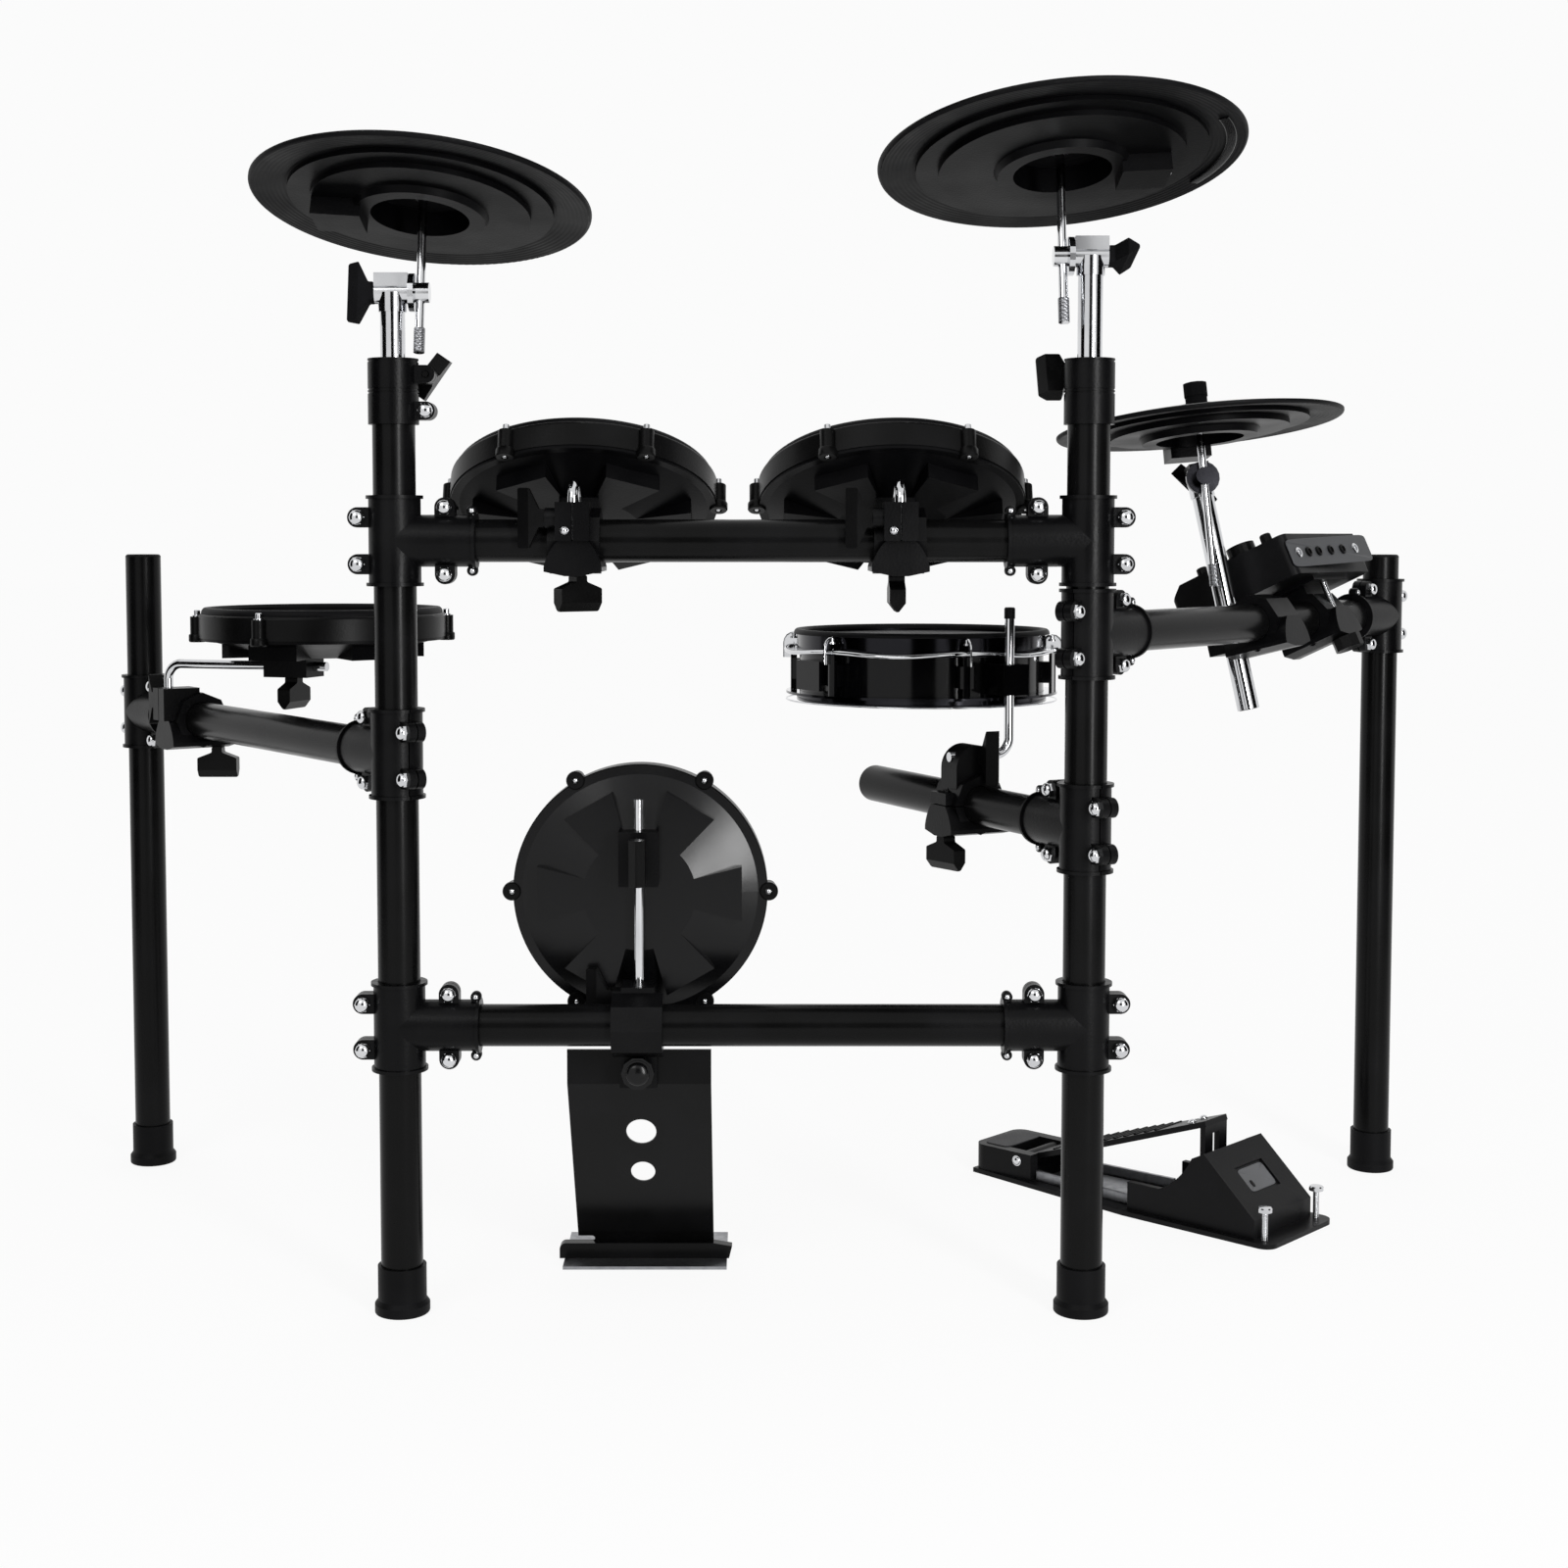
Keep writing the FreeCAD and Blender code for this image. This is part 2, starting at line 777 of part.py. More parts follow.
def tube_bore():
    """Hole along X for the tube that a clamp holds."""
    return rod("tube_od / 2 + tube_fit", "2 * jaw_width", ("-jaw_width", "0", "0"), "X")


def wing_holes():
    """Hole for the wing bolt beside the tube, and the gap between jaw and lug that it closes."""
    spot = ("0", "wing_offset", "-wing_seat")
    return [
        rod("bolt_radius + bolt_play", "wing_seat + wing_lug + 2 * bolt_tail", spot),
        block("jaw_width", "jaw_back", "split_gap", ("-jaw_width / 2", "0", "-split_gap / 2")),
    ]


def rod_boss(left=True):
    """Boss beside a rod block for the wing bolt that holds the rod, and the bolt's hole."""
    reach = "bar_clamp_width / 2 + rod_slot"
    spot = (f"-({reach})" if left else "0", "-rod_offset", "rod_boss_z")
    return rod("rod_boss_radius", reach, spot, "X"), rod("bolt_radius + bolt_play", reach, spot, "X")


def rod_wing_seat(left=True):
    """Seat on a rod boss of the wing bolt that holds the rod."""
    reach = size("bar_clamp_width / 2 + rod_slot")
    turn = ALONG["X"] if left else Rotation(Y_AXIS, -90)
    return at(-reach if left else reach, -size("rod_offset"), size("rod_boss_z"), turn)


def rod_block(down="0"):
    """Block in front of a tube clamp, and the holes that its upright rod needs: a bore and a slot."""
    front = "rod_offset + rod_radius + rod_block_wall"
    tall = f"rod_block_up + {down}"
    solid = block("rod_block_width", front, tall, ("-rod_block_width / 2", f"-({front})", f"-{down}"))
    bore = rod("rod_radius + rod_fit", tall, ("0", "-rod_offset", f"-{down}"))
    slot = block("rod_slot", f"{front} - rod_offset", tall, ("-rod_slot / 2", f"-({front})", f"-{down}"))
    return solid, [bore, slot]


def tom_clamp_shape():
    """Tube clamp with an upright rod in front and a boss for the wing bolt that holds the rod."""
    solid, holes = rod_block()
    boss, bolt = rod_boss()
    whole = fuse(clamp_ring(), jaw_shape(), wing_lug(), solid, boss)
    return cut(whole, tube_bore(), *wing_holes(), bolt, *holes)


def snare_clamp_shape():
    """Tube clamp with a round-topped block that holds a rod lying across the tube."""
    height = "(snare_rod_z - snare_arm_z)"
    half = "bar_clamp_width / 2"
    shoulder = f"{height} + rod_block_wall + rod_radius - {half}"
    post = block("rod_block_width", "bar_clamp_width", shoulder, ("-rod_block_width / 2", f"-{half}", "0"))
    dome = rod(half, "rod_block_width", ("-rod_block_width / 2", "0", shoulder), "X")
    grip = rod("rod_radius + rod_fit", "bar_clamp_width", ("0", f"-{half}", height), "Y")
    seat = ("-rod_block_width / 2", "-rod_boss_radius", height)
    bolt = rod("bolt_radius + bolt_play", "rod_block_width / 2", seat, "X")
    whole = fuse(clamp_ring(), jaw_shape(), wing_lug(), post, dome)
    return cut(whole, tube_bore(), *wing_holes(), grip, bolt)


def kick_clamp_shape():
    """Tube clamp with a tongue under its rod block, to which the kick tower is bolted."""
    solid, holes = rod_block("kick_block_down")
    tall = "lower_bar_z - tower_bend_z - kick_block_down + tongue_root"
    low_corner = ("-tongue_width / 2", "-tower_back", "tower_bend_z - lower_bar_z")
    tongue = block("tongue_width", "tongue_depth", tall, low_corner)
    knob_spot = ("0", "-tower_back", "tower_knob_z - lower_bar_z")
    hole = rod("bolt_radius + bolt_play", "tongue_depth", knob_spot, "Y")
    boss, bolt = rod_boss(left=False)
    return cut(fuse(clamp_ring(), solid, tongue, boss), tube_bore(), hole, bolt, *holes)


def bent_rod_shape(name, rise, leg, turn="90"):
    """Round rod that climbs Z to a bend and leaves along +Y, turned by an angle from +Z."""
    body = new_body(name)
    tangent = f"rod_bend * tan(({turn}) / 2)"
    spine = draw(sketch_on(body, "YZ_Plane"), [
        ("0", "0"),
        ("0", f"{rise} - {tangent}"),
        (f"{tangent} * sin({turn})", f"{rise} + {tangent} * cos({turn})", "rod_bend", -1),
        (f"({leg}) * sin({turn})", f"{rise} + ({leg}) * cos({turn})"),
    ], closed=False)
    sweep = feature(body, "AdditivePipe", draw_circles(sketch_on(body, "XY_Plane"), ("0", "0", "rod_radius")))
    sweep.Spine = spine
    return body


def arm_point(side, along, height):
    """Place on an arm: origin on the tube's axis, X outwards along it, Z up."""
    angle = {"left": 90 + size("left_arm_angle"), "right": 90 - size("right_arm_angle"),
             "snare": 90 + size("snare_arm_angle")}[side]
    start = Vector(size("rack_span") / 2 * (-1 if side == "left" else 1), 0, size(height))
    return Placement(start, spin(angle)) * at(size(along))


def lying(place):
    """Turn a shape that stands on Z so that it lies along the X of a place."""
    return place * Placement(Vector(), ALONG["X"])


def build_rack(shared):
    """Front frame: uprights, crossbars, snare arm, tee clamps and front feet."""
    half = size("rack_span") / 2
    upright = tube_shape("upright", "upright_top - foot_sole")
    bar = tube_shape("bar", "rack_span - tube_od - 2 * tube_end_gap")
    snare_arm = tube_shape("snare_arm", "snare_arm_reach - tube_od / 2 - tube_end_gap")
    bar_start = -half + size("tube_od / 2 + tube_end_gap")
    for label, x in (("left_upright", -half), ("right_upright", half)):
        node(label, [(upright, HERE)], at(x, 0, size("foot_sole")))
    for label, height in (("upper_crossbar", "upper_bar_z"), ("lower_crossbar", "lower_bar_z")):
        node(label, [(bar, HERE)], lying(at(bar_start, 0, size(height))))
    arm_start = arm_point("snare", "tube_od / 2 + tube_end_gap", "snare_arm_z")
    arm_tip = arm_point("snare", "snare_arm_reach", "snare_arm_z")
    node("snare_arm", [(snare_arm, lying(arm_start)), (shared["plug"], lying(arm_tip))])
    tees = [arm_point("snare", "0", "snare_arm_z")]
    for height in ("upper_bar_z", "lower_bar_z"):
        tees.append(at(-half, 0, size(height)))
        tees.append(at(half, 0, size(height), spin(180)))
    build_tees("rack", shared, tees)
    node("front_feet", [(shared["foot"], at(-half)), (shared["foot"], at(half))])


def build_tees(name, shared, places):
    """Tee clamps at the given places, and the four bolts of each."""
    node(f"{name}_tee_clamps", [(shared["tee"], place) for place in places])
    node(f"{name}_clamp_bolts", [(shared["bolt"], spot) for place in places for spot in tee_bolts(place)])


def build_collars(shared):
    """Pole collars with a wing bolt and a plain bolt each; the right one has its ears behind it."""
    half = size("rack_span") / 2
    base = size("upright_top - collar_seat")
    places = [at(-half, 0, base), at(half, 0, base, spin(90))]
    collar = collar_shape()
    wing = wing_bolt_shape("2 * collar_ear_depth + bolt_tail")
    reach, depth = size("collar_ear_reach"), size("collar_ear_depth")
    wing_turn = Rotation(X_AXIS, 90) * spin(size("collar_wing_angle"))
    wing_seat = at(reach, depth, size("collar_high_ear"), wing_turn)
    bolt_seat = at(reach, -depth, size("collar_low_ear"), Rotation(X_AXIS, 90))
    node("pole_collars", [(collar, place) for place in places])
    pairs = ((wing, wing_seat), (shared["bolt"], bolt_seat))
    node("collar_bolts", [(piece, place * seat) for place in places for piece, seat in pairs])


def build_wing(side, shared):
    """Side wing that swings about its front upright: arm, rear leg, tee clamps, foot and plug."""
    height = f"{side}_arm_z"
    gap = "tube_od / 2 + tube_end_gap"
    arm = tube_shape(f"{side}_arm", f"arm_reach - 2 * ({gap})")
    leg = tube_shape(f"{side}_leg", "leg_top - foot_sole - plug_thick")
    leg_spot = arm_point(side, "arm_reach", "foot_sole")
    floor_spot = arm_point(side, "arm_reach", "0")
    plug_spot = arm_point(side, "arm_reach", "leg_top - plug_thick")
    node(f"{side}_arm", [(arm, HERE)], lying(arm_point(side, gap, height)))
    node(f"{side}_leg", [(leg, HERE)], leg_spot)
    node(f"{side}_leg_caps", [(shared["foot"], floor_spot), (shared["plug"], plug_spot)])
    far_tee = arm_point(side, "arm_reach", height) * Placement(Vector(), spin(180))
    build_tees(side, shared, [arm_point(side, "0", height), far_tee])


def clamp_wing_seat(turn):
    """Seat under a clamp's jaw of the wing bolt that tightens it, turned about the bolt."""
    return at(0, size("wing_offset"), -size("wing_seat"), spin(turn))


def build_rod_clamps(shared):
    """Clamps on the crossbars and the snare arm, with the wing bolts that tighten them."""
    toms = [at(size(f"{side}_tom_x"), 0, size("upper_bar_z")) for side in ("left", "right")]
    kick = at(size("kick_x"), 0, size("lower_bar_z"))
    kick_clamp = kick * Placement(Vector(), spin(180))
    snare = arm_point("snare", "snare_clamp_along", "snare_arm_z")
    clamps = [(shared["tom_clamp"], place) for place in toms]
    clamps.append((snare_clamp_shape(), snare))
    clamps.append((kick_clamp_shape(), kick_clamp))
    node("rod_clamps", clamps)
    seats = [clamp_wing_seat(turn) for turn in WING_TURNS]
    bolts = [(shared["clamp_wing"], place * seat) for place, seat in zip(toms + [snare], seats)]
    bolts += [(shared["rod_wing"], place * rod_wing_seat()) for place in toms]
    bolts.append((shared["rod_wing"], kick_clamp * rod_wing_seat(left=False)))
    snare_wing = wing_bolt_shape("rod_block_width / 2 - rod_radius - rod_fit", "nut")
    lift = size("snare_rod_z - snare_arm_z")
    snare_seat = at(-size("rod_block_width / 2"), -size("rod_boss_radius"), lift, ALONG["X"])
    bolts.append((snare_wing, snare * snare_seat))
    knob_seat = at(0, size("tower_back - tongue_depth"), size("tower_knob_z - lower_bar_z"), ALONG["Y"])
    bolts.append((knob_shape("tongue_depth + tower_sheet"), kick * knob_seat))
    node("clamp_wing_bolts", bolts)


# Drum pads
def dish_shape(name, radius):
    """Bowl under a pad: bolt ears round its flange and raised sectors under its floor."""
    body = new_body(f"{name}_dish")
    ledge = "-hoop_height / 2"
    top = f"{ledge} + dish_flange"
    inside = f"{radius} - hoop_wall - lug_radius"
    turned(body, [
        ("0", "-dish_depth"),
        ("dish_floor_radius", "-dish_depth"),
        (f"{inside} + dish_wall", ledge),
        (f"{radius} - lug_stand", ledge),
        (f"{radius} - lug_stand", top),
        ("0", top),
    ])
    rib = draw(sketch_on(body, "XY_Plane", "-dish_depth"), [
        ("dish_floor_radius - dish_wall", "-dish_floor_radius * tan(rib_angle / 2)"),
        (f"{inside} - rib_margin", f"-({inside} - rib_margin) * tan(rib_angle / 2)"),
        (f"{inside} - rib_margin", f"({inside} - rib_margin) * tan(rib_angle / 2)"),
        ("dish_floor_radius - dish_wall", "dish_floor_radius * tan(rib_angle / 2)"),
    ])
    ring_of(body, pad(body, rib, "dish_depth - hoop_height / 2"), "lug_count")
    turned(body, [
        ("0", "-dish_depth + dish_wall"),
        ("dish_floor_radius", "-dish_depth + dish_wall"),
        (inside, top),
        ("0", top),
    ], "Groove")
    ear = draw_circles(sketch_on(body, "XY_Plane", ledge), (f"{radius} + lug_stand", "0", "lug_radius"))
    ring_of(body, pad(body, ear, "dish_flange"), "lug_count")
    return body


def hoop_shape(name, radius):
    """Moulded hoop with a lip over the head and a screw column above each dish ear."""
    body = new_body(f"{name}_hoop")
    low = "-hoop_height / 2 + dish_flange"
    top = "hoop_height / 2"
    under_lip = f"{top} - hoop_lip_thick"
    turned(body, [
        (f"{radius} - hoop_wall", low),
        (radius, low),
        (radius, under_lip),
        (f"{radius} - hoop_lip_thick", top, "hoop_lip_thick", 1),
        (f"{radius} - hoop_lip", top),
        (f"{radius} - hoop_lip", under_lip),
        (f"{radius} - hoop_wall", under_lip),
    ])
    lug = draw_circles(sketch_on(body, "XY_Plane", low), (f"{radius} + lug_stand", "0", "lug_radius"))
    ring_of(body, pad(body, lug, "hoop_height - dish_flange - hoop_lip_thick"), "lug_count")
    return body


def membrane_shape(name, radius):
    """Playing surface with the collar that the hoop's lip holds down."""
    body = new_body(f"{name}_membrane")
    edge = f"{radius} + lug_stand - lug_radius - pad_gap"
    top = "hoop_height / 2 - hoop_lip_thick"
    turned(body, [
        ("0", f"{top} - membrane"),
        (f"{edge} - hoop_wall", f"{top} - membrane"),
        (f"{edge} - hoop_wall", f"{top} - collar_depth"),
        (edge, f"{top} - collar_depth"),
        (edge, top),
        ("0", top),
    ])
    return body


def rim_shape(name, radius):
    """Rubber ring that covers the top of a hoop."""
    body = new_body(f"{name}_rim")
    low = "hoop_height / 2"
    inside = f"{radius} - hoop_lip"
    turned(body, [
        (inside, low),
        (f"{radius} - hoop_lip_thick", low),
        (f"{radius} - hoop_lip_thick - rim_rubber / 2", f"{low} + rim_rubber", "rim_rubber", 1),
        (f"{inside} + rim_rubber / 3", f"{low} + rim_rubber"),
        (inside, f"{low} + rim_rubber / 2"),
    ])
    return body


def trigger_shape():
    """Sensor seat and foam cone between the dish floor and the head."""
    body = new_body("trigger")
    floor = "-dish_depth + dish_wall"
    tip = "hoop_height / 2 - hoop_lip_thick - membrane - pad_gap"
    turned(body, [
        ("0", floor),
        ("trigger_radius", floor),
        ("trigger_radius", f"{floor} + trigger_seat"),
        ("trigger_tip", tip),
        ("0", tip),
    ])
    return body


def holder_shape():
    """Block under a dish that grips the rod's leg along Y, with a hole for its wing bolt."""
    bottom = "-rod_drop - holder_wall"
    start = "-holder_shift - holder_length / 2"
    return cut(
        block("holder_width", "holder_length", "rod_drop + holder_wall - dish_depth",
              ("-holder_width / 2", start, bottom)),
        rod("rod_radius + rod_fit", "holder_length", ("0", start, "-rod_drop"), "Y"),
        rod("bolt_radius + bolt_play", "holder_wall", ("0", "-holder_shift", bottom)),
    )


def pad_parts(name, radius, shared):
    """Shapes of one drum pad, made at its own radius."""
    return {
        "dish": dish_shape(name, radius),
        "hoop": hoop_shape(name, radius),
        "membrane": membrane_shape(name, radius),
        "rim": rim_shape(name, radius),
        "trigger": shared["trigger"],
        "holder": shared["holder"],
        "wing": shared["holder_wing"],
    }


def build_pad(name, parts, place, wing_turn=0):
    """Dish with its holder, hoop and head of one pad; the holder's wing stopped at the given turn."""
    wing_seat = at(0, -size("holder_shift"), -size("rod_drop + holder_wall"), spin(wing_turn))
    lower = [(parts[key], HERE) for key in ("dish", "trigger", "holder")]
    node(f"{name}_dish", lower + [(parts["wing"], wing_seat)], place)
    node(f"{name}_hoop", [(parts["hoop"], HERE)], place)
    node(f"{name}_head", [(parts["membrane"], HERE), (parts["rim"], HERE)], place)


def build_toms(parts):
    """Two rack toms tilted to the drummer on rods that rise in front of the upper bar."""
    hold_y = "(tom_y - rod_drop * sin(tom_tilt))"
    hold_z = "(tom_z - rod_drop * cos(tom_tilt))"
    run = f"(({hold_y} + rod_offset) / cos(tom_tilt))"
    rise = f"({hold_z} + {run} * sin(tom_tilt) - upper_bar_z - rod_foot)"
    leg = f"{run} - holder_shift + holder_length / 2 + rod_stub"
    bent = bent_rod_shape("tom_rod", rise, leg, "90 + tom_tilt")
    for side in ("left", "right"):
        x = size(f"{side}_tom_x")
        node(f"{side}_tom_rod", [(bent, HERE)], at(x, -size("rod_offset"), size("upper_bar_z + rod_foot")))
        tilt = Rotation(X_AXIS, -size("tom_tilt"))
        build_pad(f"{side}_tom", parts, at(x, size("tom_y"), size("tom_z"), tilt))


def build_floor_tom(parts, shared):
    """Level floor tom on a rod from the left arm."""
    about = Placement(Vector(), spin(180))
    clamp_spot = arm_point("left", "arm_reach - floor_clamp_back", "left_arm_z") * about
    pieces = [
        (shared["tom_clamp"], HERE),
        (shared["clamp_wing"], clamp_wing_seat(90 - size("left_arm_angle"))),
        (shared["rod_wing"], rod_wing_seat()),
    ]
    node("floor_tom_clamp", pieces, clamp_spot)
    rise = "floor_tom_z - rod_drop - left_arm_z - rod_foot"
    leg = "floor_rod_reach - holder_shift + holder_length / 2 + rod_stub"
    foot = clamp_spot * at(0, -size("rod_offset"), size("rod_foot"))
    rod_place = Placement(foot.Base, spin(-size("floor_rod_angle")))
    node("floor_tom_rod", [(bent_rod_shape("floor_rod", rise, leg), HERE)], rod_place)
    lift = size("floor_tom_z - left_arm_z - rod_foot")
    build_pad("floor_tom", parts, rod_place * at(0, size("floor_rod_reach"), lift))


def build_kick(parts):
    """Upright kick pad on a straight rod, and the sheet tower that steadies it on the floor."""
    foot_z = "(lower_bar_z - kick_block_down)"
    kick_rod = rod("rod_radius", f"kick_rod_top - {foot_z}")
    x = size("kick_x")
    node("kick_rod", [(kick_rod, HERE)], at(x, size("rod_offset"), size(foot_z)))
    facing = Rotation(X_AXIS, -90)
    build_pad("kick", parts, at(x, size("rod_offset + rod_drop"), size("kick_z"), facing), 90)
    plate = block("tower_plate_width", "tower_plate_front + tower_plate_back", "tower_sheet",
                  ("-tower_plate_width / 2", "tower_foot_y - tower_plate_front", "0"))
    node("kick_tower", [(tower_shape(), HERE), (plate, HERE)], at(x))


def tower_shape():
    """Leaning sheet with two round holes, a bolted tab on top and a wide foot on the floor plate."""
    body = new_body("tower")
    behind = "tower_back + tower_sheet"
    sketch = draw(sketch_on(body, "YZ_Plane"), [
        ("tower_back", "tower_tab_top"),
        ("tower_back", "tower_bend_z"),
        ("tower_foot_y", "tower_foot_z"),
        ("tower_foot_y", "tower_sheet"),
        ("tower_foot_y + tower_sheet", "tower_sheet"),
        ("tower_foot_y + tower_sheet", "tower_foot_z"),
        (behind, "tower_bend_z"),
        (behind, "tower_tab_top"),
    ])
    pad(body, sketch, "tower_width", both_ways=True)
    deep = "tower_foot_y"
    notch = ("-tower_width / 2", "tower_back", "tower_foot_z")
    notch_end = ("tower_notch_length - tower_width / 2", "tower_back", "tower_foot_z + tower_notch / 2")
    return cut(
        fuse(body, tower_foot_shape()),
        rod("tower_hole_high", deep, ("0", "tower_back", "tower_hole_high_z"), "Y"),
        rod("tower_hole_low", deep, ("0", "tower_back", "tower_hole_low_z"), "Y"),
        rod("bolt_radius + bolt_play", "tower_sheet", ("0", "tower_back", "tower_knob_z"), "Y"),
        block("tower_notch_length", deep, "tower_notch", notch),
        rod("tower_notch / 2", deep, notch_end, "Y"),
    )


def tower_foot_shape():
    """Bar across the foot of the tower: rounded at one end and slanted at the other."""
    side = "tower_foot_width / 2"
    body = new_body("tower_foot")
    outline = draw(sketch_on(body, "XZ_Plane", "-tower_foot_y - tower_sheet"), [
        (f"-{side}", "tower_sheet"),
        (f"{side} - tower_foot_corner / 2", "tower_sheet"),
        (side, "tower_foot_z - tower_foot_corner / 2"),
        ("tower_width / 2", "tower_foot_z"),
        (f"-{side} + tower_foot_corner", "tower_foot_z"),
        (f"-{side}", "tower_foot_z - tower_foot_corner", "tower_foot_corner", 1),
    ])
    pad(body, outline, "tower_foot_depth")
    return body


# Snare
def snare_shell_shape():
    """Drum shell with the rod bracket on -Y and the jack box on -X."""
    body = new_body("snare_shell")
    low, high = "snare_seat", "snare_height - snare_rim - snare_seat"
    turned(body, [
        ("snare_radius - snare_wall", low),
        ("snare_radius", low),
        ("snare_radius", high),
        ("snare_radius - snare_wall", high),
    ])
    root = "snare_radius - snare_wall / 2"
    reach = "snare_reach + rod_radius + rod_block_wall"
    bracket = block("rod_block_width", f"{reach} - ({root})", "bracket_height",
                    ("-rod_block_width / 2", f"-({reach})", "bracket_base"))
    jack_box = block("jack_depth", "snare_jack_width", "bracket_height",
                     (f"-({root}) - jack_depth", "-snare_jack_width / 2", "bracket_base"))
    grip = rod("rod_radius + rod_fit", "bracket_height", ("0", "-snare_reach", "bracket_base"))
    return cut(fuse(body, bracket, jack_box), grip)


def snare_hoop_shape(name, low, tall, flange_low):
    """Pressed hoop: an upright band with a flange turned outwards at one height."""
    body = new_body(name)
    inside = "snare_radius + snare_play"
    band = f"{inside} + snare_hoop_wall"
    turned(body, [
        (inside, low),
        ("snare_hoop_radius", low) if flange_low else (band, low),
        ("snare_hoop_radius", f"{low} + snare_hoop_wall") if flange_low
        else (band, f"{low} + {tall} - snare_hoop_wall"),
        (band, f"{low} + snare_hoop_wall") if flange_low
        else ("snare_hoop_radius", f"{low} + {tall} - snare_hoop_wall"),
        (band, f"{low} + {tall}") if flange_low else ("snare_hoop_radius", f"{low} + {tall}"),
        (inside, f"{low} + {tall}"),
    ])
    return body


def snare_lug_shape():
    """Lug block on the shell with the tension rod that pulls the two hoops together."""
    side = "snare_radius + snare_play"
    middle = "snare_hoop_radius - tension_radius - snare_play"
    low = "snare_low_hoop"
    high = "snare_height - snare_rim - snare_top_hoop"
    lug = block(f"{middle} - ({side})", "snare_lug_width", "snare_lug_height",
                (side, "-snare_lug_width / 2", f"({low} + {high} - snare_lug_height) / 2"))
    return fuse(lug, prism(8, "tension_radius", f"{high} - {low}", (middle, "0", low)))


def build_snare():
    """Snare on its own bent rod: the rod lies in the clamp, then climbs beside the shell."""
    clamp_spot = arm_point("snare", "snare_clamp_along", "snare_arm_z")
    lift = size("snare_rod_z - snare_arm_z")
    tail = size("bar_clamp_width / 2")
    across = clamp_spot * at(0, tail, lift, Rotation(X_AXIS, 90))
    rise = "snare_rod_side + bar_clamp_width / 2"
    leg = "snare_rod_top - snare_rod_z"
    node("snare_rod", [(bent_rod_shape("snare_rod", rise, leg), HERE)], across)
    upright = clamp_spot * at(0, -size("snare_rod_side"), 0)
    yaw = spin(size("snare_angle"))
    spot = Placement(upright.Base, yaw) * at(0, size("snare_reach"), 0)
    place = Placement(Vector(spot.Base.x, spot.Base.y, size("snare_bottom_z")), yaw)
    bridge = block("2 * (snare_radius - snare_wall - pad_gap)", "bridge_width", "bridge_thick",
                   ("-snare_radius + snare_wall + pad_gap", "-bridge_width / 2", "bridge_base"))
    node("snare_shell", [(snare_shell_shape(), HERE), (bridge, HERE), (snare_trigger_shape(), HERE)], place)
    top_low = "snare_height - snare_rim - snare_top_hoop"
    top = snare_hoop_shape("snare_top_hoop", top_low, "snare_top_hoop", True)
    low = snare_hoop_shape("snare_low_hoop", "0", "snare_low_hoop", False)
    lug = snare_lug_shape()
    step = 360 / size("lug_count")
    lugs = [(lug, at(turn=spin(step * (index + 0.25)))) for index in range(int(size("lug_count")))]
    node("snare_hardware", [(top, HERE), (low, HERE)] + lugs, place)
    node("snare_head", [(snare_head_shape(), HERE), (snare_rim_shape(), HERE)], place)


def snare_trigger_shape():
    """Sensor seat and foam cone between the bridge and the snare's head."""
    body = new_body("snare_trigger")
    low = "bridge_base + bridge_thick"
    tip = "snare_height - snare_rim - snare_seat - pad_gap"
    turned(body, [
        ("0", low),
        ("trigger_radius", low),
        ("trigger_radius", f"{low} + trigger_seat"),
        ("trigger_tip", tip),
        ("0", tip),
    ])
    return body


def snare_head_shape():
    """Playing surface that lies on the edge of the shell."""
    body = new_body("snare_membrane")
    low = "snare_height - snare_rim - snare_seat"
    top = f"{low} + membrane"
    turned(body, [("0", low), ("snare_radius", low), ("snare_radius", top), ("0", top)])
    return body


def snare_rim_shape():
    """Rubber ring over the top hoop of the snare."""
    body = new_body("snare_rim")
    low = "snare_height - snare_rim"
    inside = "snare_radius - snare_wall / 2"
    outside = "snare_radius + snare_wall"
    turned(body, [
        (inside, low),
        (outside, low),
        (f"{outside} - snare_rim / 2", "snare_height", "snare_rim", 1),
        (f"{inside} + snare_rim / 3", "snare_height"),
        (inside, f"{low} + snare_rim / 2"),
    ])
    return body


# Cymbals
def stand_head_shape():
    """Casting on top of a pole with a cross barrel for the tilter's eye bolt."""
    start = "-tilter_barrel_half"
    return cut(
        fuse(
            rod("tilter_neck_radius", "tilter_rise"),
            rod("tilter_barrel_radius", "2 * tilter_barrel_half", (start, "0", "tilter_rise"), "X"),
        ),
        rod("eye_bolt_radius + tilter_gap", "2 * tilter_barrel_half", (start, "0", "tilter_rise"), "X"),
    )


def stand_cap_shape():
    """Moulded hood that sits over the top of the cross barrel."""
    low = "tilter_rise + tilter_barrel_radius / 2"
    hood = block("2 * tilter_barrel_half", "2 * cap_half_depth", "cap_height + tilter_barrel_radius / 2",
                 ("-tilter_barrel_half", "-cap_half_depth", low))
    barrel_end = ("-tilter_barrel_half", "0", "tilter_rise")
    return cut(hood, rod("tilter_barrel_radius", "2 * tilter_barrel_half", barrel_end, "X"))


def eye_bolt_shape():
    """Toothed disc, eye bolt and eye; the hinge axis is X and the eye grips the rod."""
    seat = "tilter_barrel_half + tilter_gap"
    eye_end = "rod_side + cymbal_rod_radius + eye_wall"
    return cut(
        fuse(
            rod("eye_bolt_radius", f"2 * ({seat})", (f"-({seat})", "0", "0"), "X"),
            prism(18, "tilter_disc_radius", "tilter_disc_thick", (seat, "0", "0"), "X"),
            rod("eye_radius", f"{eye_end} - ({seat})", (seat, "0", "0"), "X"),
        ),
        rod("cymbal_rod_radius + foot_fit", "4 * eye_radius", ("rod_side", "0", "-2 * eye_radius")),
    )


